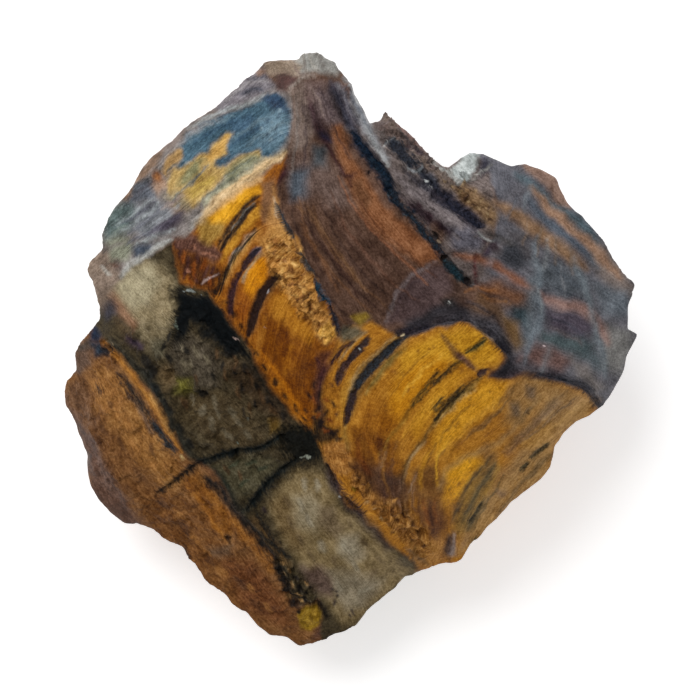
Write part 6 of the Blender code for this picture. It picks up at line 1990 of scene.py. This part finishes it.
# Noise that follows the fibres: how often it repeats in a mm across them, along them and
# between parts, its octaves and their roughness.
THREAD = ((5.0, 0.45, 1), 2, 0.55)
STRAND = ((1.3, 0.12, 1), 2, 0.55)
DASH = ((3.4, 0.9, 1), 5, 0.7)
# Noise that is alike in all directions: how often in a mm, its octaves and their roughness.
CLOUD = (0.45, 8, 0.62)
GRAIN = (4.0, 5, 0.7)
CHIPS_PER_MM = 1.5
CHIP_SPREAD = (1.6, 0.9)  # how often in a mm, and by how many mm, noise bends the chips
SPREAD_OCTAVES = 2

# While a noise goes from the first number to the second, the shade that it adds goes from
# the third to the fourth.
THREAD_SHADE = (0.34, 0.66, -0.2, 0.2)
STRAND_SHADE = (0.34, 0.66, -0.3, 0.3)
CLOUD_SHADE = (0.32, 0.68, -0.6, 0.6)
DASH_SHADE = (0.38, 0.62, -0.5, 0.4)
CHIP_SHADE = (0.0, 1.0, -0.55, 0.55)
GRAIN_SHADE = (0.38, 0.62, -0.3, 0.3)
PLAIN_DASHES = 0.4  # how strongly the dashes show where there are no crumbs
SHADE_LIGHT = 0.42  # how much a shade of 1 brightens the colour
SHADE_GAMMA = -0.2  # and how much it changes the colour's gamma

FEATHER = 9.0  # pixels by which the strands fray a mark, from end to end of their noise
DASH_FEATHER = 8.0  # the same for the dashes
# While the distance from a mark goes from the first number to the second, in pixels, the
# mark's cover goes from the third to the fourth.
INK_COVER = (2.8, -1.2, 0.0, 0.92)
GLINT_COVER = (0.7, -0.9, 0.0, 0.85)
INK_GRAIN = (0.36, 0.66, 0.4, 2.2)  # the grain's noise, and how much it brightens the ink

ROUGHNESS = (0.3, 0.7, 0.36, 0.56)  # the clouds' noise, and the roughness that it gives
CRUMB_ROUGHNESS = 0.2  # is added where the crumbs show fully
BUMP_STRENGTH = 0.45
BUMP_HEIGHT = 0.15  # mm
SHINE = 0.07


def stone_shade(nodes, noises, texture):
    """How much lighter or darker than its paint each place of the stone is."""
    thread, strand, dash, cloud, grain, chip = noises
    silk, clouds, crumbs = texture
    combed = nodes.plus(nodes.ramp(thread, *THREAD_SHADE), nodes.ramp(strand, *STRAND_SHADE))
    combed = nodes.times(combed, silk)
    clouded = nodes.times(nodes.ramp(cloud, *CLOUD_SHADE), clouds)
    dashed = nodes.times(nodes.ramp(dash, *DASH_SHADE), nodes.plus(crumbs, PLAIN_DASHES))
    chipped = nodes.times(nodes.ramp(chip, *CHIP_SHADE), crumbs)
    grained = nodes.ramp(grain, *GRAIN_SHADE)
    fine = nodes.plus(dashed, nodes.plus(grained, chipped))
    return nodes.plus(nodes.plus(combed, clouded), fine)


def stone_material():
    """Painted colour with fibres, clouds, crumbs, dark marks, painted glints, and fine bump."""
    material = bpy.data.materials.new("tigers_eye_stone")
    nodes = Nodes(material)
    place = nodes.vector("MULTIPLY", nodes.add("ShaderNodeTexCoord").outputs["Object"],
                         (1 / MM, 1 / MM, 1 / MM))
    fibre = nodes.read("fibre", "Vector")
    texture = nodes.add("ShaderNodeSeparateXYZ", {0: nodes.read("texture", "Vector")}).outputs
    silk, _, crumbs = texture

    thread = nodes.fibre_noise(fibre, *THREAD)
    strand = nodes.fibre_noise(fibre, *STRAND)
    dash = nodes.fibre_noise(fibre, *DASH)
    cloud = nodes.noise(place, *CLOUD)
    grain = nodes.noise(place, *GRAIN)
    chip = nodes.add("ShaderNodeTexVoronoi", {
        "Vector": nodes.vector("ADD", place, nodes.spread(place, *CHIP_SPREAD)),
        "Scale": CHIPS_PER_MM, "Randomness": 1.0,
    }).outputs["Color"]
    chip = nodes.add("ShaderNodeSeparateColor", {0: chip}).outputs[0]

    shade = stone_shade(nodes, (thread, strand, dash, cloud, grain, chip), texture)
    lit = nodes.brighter(nodes.read("paint", "Color"), nodes.times(shade, SHADE_LIGHT, 1.0))
    toned = nodes.add("ShaderNodeGamma", {
        "Color": lit, "Gamma": nodes.times(shade, SHADE_GAMMA, 1.0),
    }).outputs[0]

    feather = nodes.times(nodes.math("SUBTRACT", strand, 0.5), silk)
    fray = nodes.times(feather, FEATHER, nodes.times(dash, DASH_FEATHER, -DASH_FEATHER / 2))
    ink_share = nodes.ramp(nodes.plus(nodes.read("ink", "Fac"), fray), *INK_COVER)
    ink_tone = nodes.brighter(nodes.read("ink_paint", "Color"), nodes.ramp(grain, *INK_GRAIN))
    inked = nodes.mix(ink_share, toned, ink_tone)
    # The painted glints, flecks of painted highlight, go over the colour.
    glint_share = nodes.ramp(nodes.plus(nodes.read("painted_glint", "Fac"), fray), *GLINT_COVER)
    colour = nodes.mix(glint_share, inked, nodes.read("glint_colour", "Color"))

    rough = nodes.times(crumbs, CRUMB_ROUGHNESS, nodes.ramp(cloud, *ROUGHNESS))
    relief = nodes.times(thread, silk, nodes.times(dash, crumbs, grain))
    bump = nodes.add("ShaderNodeBump", {
        "Strength": BUMP_STRENGTH, "Distance": BUMP_HEIGHT * MM, "Height": relief,
    })
    surface = nodes.add("ShaderNodeBsdfPrincipled", {
        "Base Color": colour, "Roughness": rough, "Normal": bump.outputs[0],
        "Specular IOR Level": SHINE,
    })
    nodes.add("ShaderNodeOutputMaterial", {"Surface": surface.outputs[0]})
    return material


# ---------------------------------------------------------------- floor, light and camera

FLOOR_SIDE = 4.0  # m
FLOOR_TONE = 0.92
FLOOR_ROUGHNESS = 0.9
FLOOR_SHINE = 0.1
FLOOR_GLOW = 0.5  # the floor is a dim light table, so that no hard shadow falls on it
WORLD_LIGHT = 0.44
KEY_LIGHT = 1.65  # W/m2
KEY_TILT = 38  # degrees from straight above
KEY_HEADING = 125  # degrees from +X: towards the upper left of the frame
KEY_SOFTNESS = 40  # degrees
CLIP_END = 20  # m


def add_floor():
    """A plain pale floor that is not part of the stone."""
    half = FLOOR_SIDE / 2
    mesh = bpy.data.meshes.new("floor")
    mesh.from_pydata([(-half, -half, 0), (half, -half, 0), (half, half, 0), (-half, half, 0)],
                     [], [(0, 1, 2, 3)])
    floor = bpy.data.objects.new("floor", mesh)
    bpy.context.scene.collection.objects.link(floor)
    material = bpy.data.materials.new("floor")
    nodes = Nodes(material)
    surface = nodes.add("ShaderNodeBsdfPrincipled", {
        "Base Color": (FLOOR_TONE, FLOOR_TONE, FLOOR_TONE, 1), "Roughness": FLOOR_ROUGHNESS,
        "Specular IOR Level": FLOOR_SHINE,
        "Emission Color": (1, 1, 1, 1), "Emission Strength": FLOOR_GLOW,
    })
    nodes.add("ShaderNodeOutputMaterial", {"Surface": surface.outputs[0]})
    mesh.materials.append(material)


def add_light():
    """Even light from all around and one wide, soft key light."""
    world = bpy.data.worlds.new("studio")
    world.use_nodes = True
    background = world.node_tree.nodes["Background"]
    background.inputs["Color"].default_value = (1, 1, 1, 1)
    background.inputs["Strength"].default_value = WORLD_LIGHT
    bpy.context.scene.world = world
    sun = bpy.data.lights.new("key", "SUN")
    sun.energy = KEY_LIGHT
    sun.angle = math.radians(KEY_SOFTNESS)
    key = bpy.data.objects.new("key", sun)
    tilt = math.radians(KEY_TILT)
    heading = math.radians(KEY_HEADING)
    towards = Vector((math.sin(tilt) * math.cos(heading), math.sin(tilt) * math.sin(heading),
                      math.cos(tilt)))
    key.rotation_euler = towards.to_track_quat("Z", "Y").to_euler()
    bpy.context.scene.collection.objects.link(key)


def add_camera():
    """A long lens straight above the stone, as in the photograph."""
    lens = bpy.data.cameras.new("camera")
    lens.sensor_width = SENSOR
    lens.lens = LENS
    lens.clip_end = CLIP_END
    camera = bpy.data.objects.new("camera", lens)
    camera.location = (0, 0, CAMERA_HEIGHT * MM)
    bpy.context.scene.collection.objects.link(camera)
    bpy.context.scene.camera = camera


def main():
    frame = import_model()
    bpy.context.scene.view_settings.view_transform = "Standard"
    add_camera()
    add_light()
    add_floor()
    stone = build_stone(frame["nodes"]["tigers_eye"].data)
    stone.data.materials.clear()
    stone.data.materials.append(stone_material())
    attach(stone, "root")
    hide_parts("tigers_eye")
    bpy.context.view_layer.update()


main()
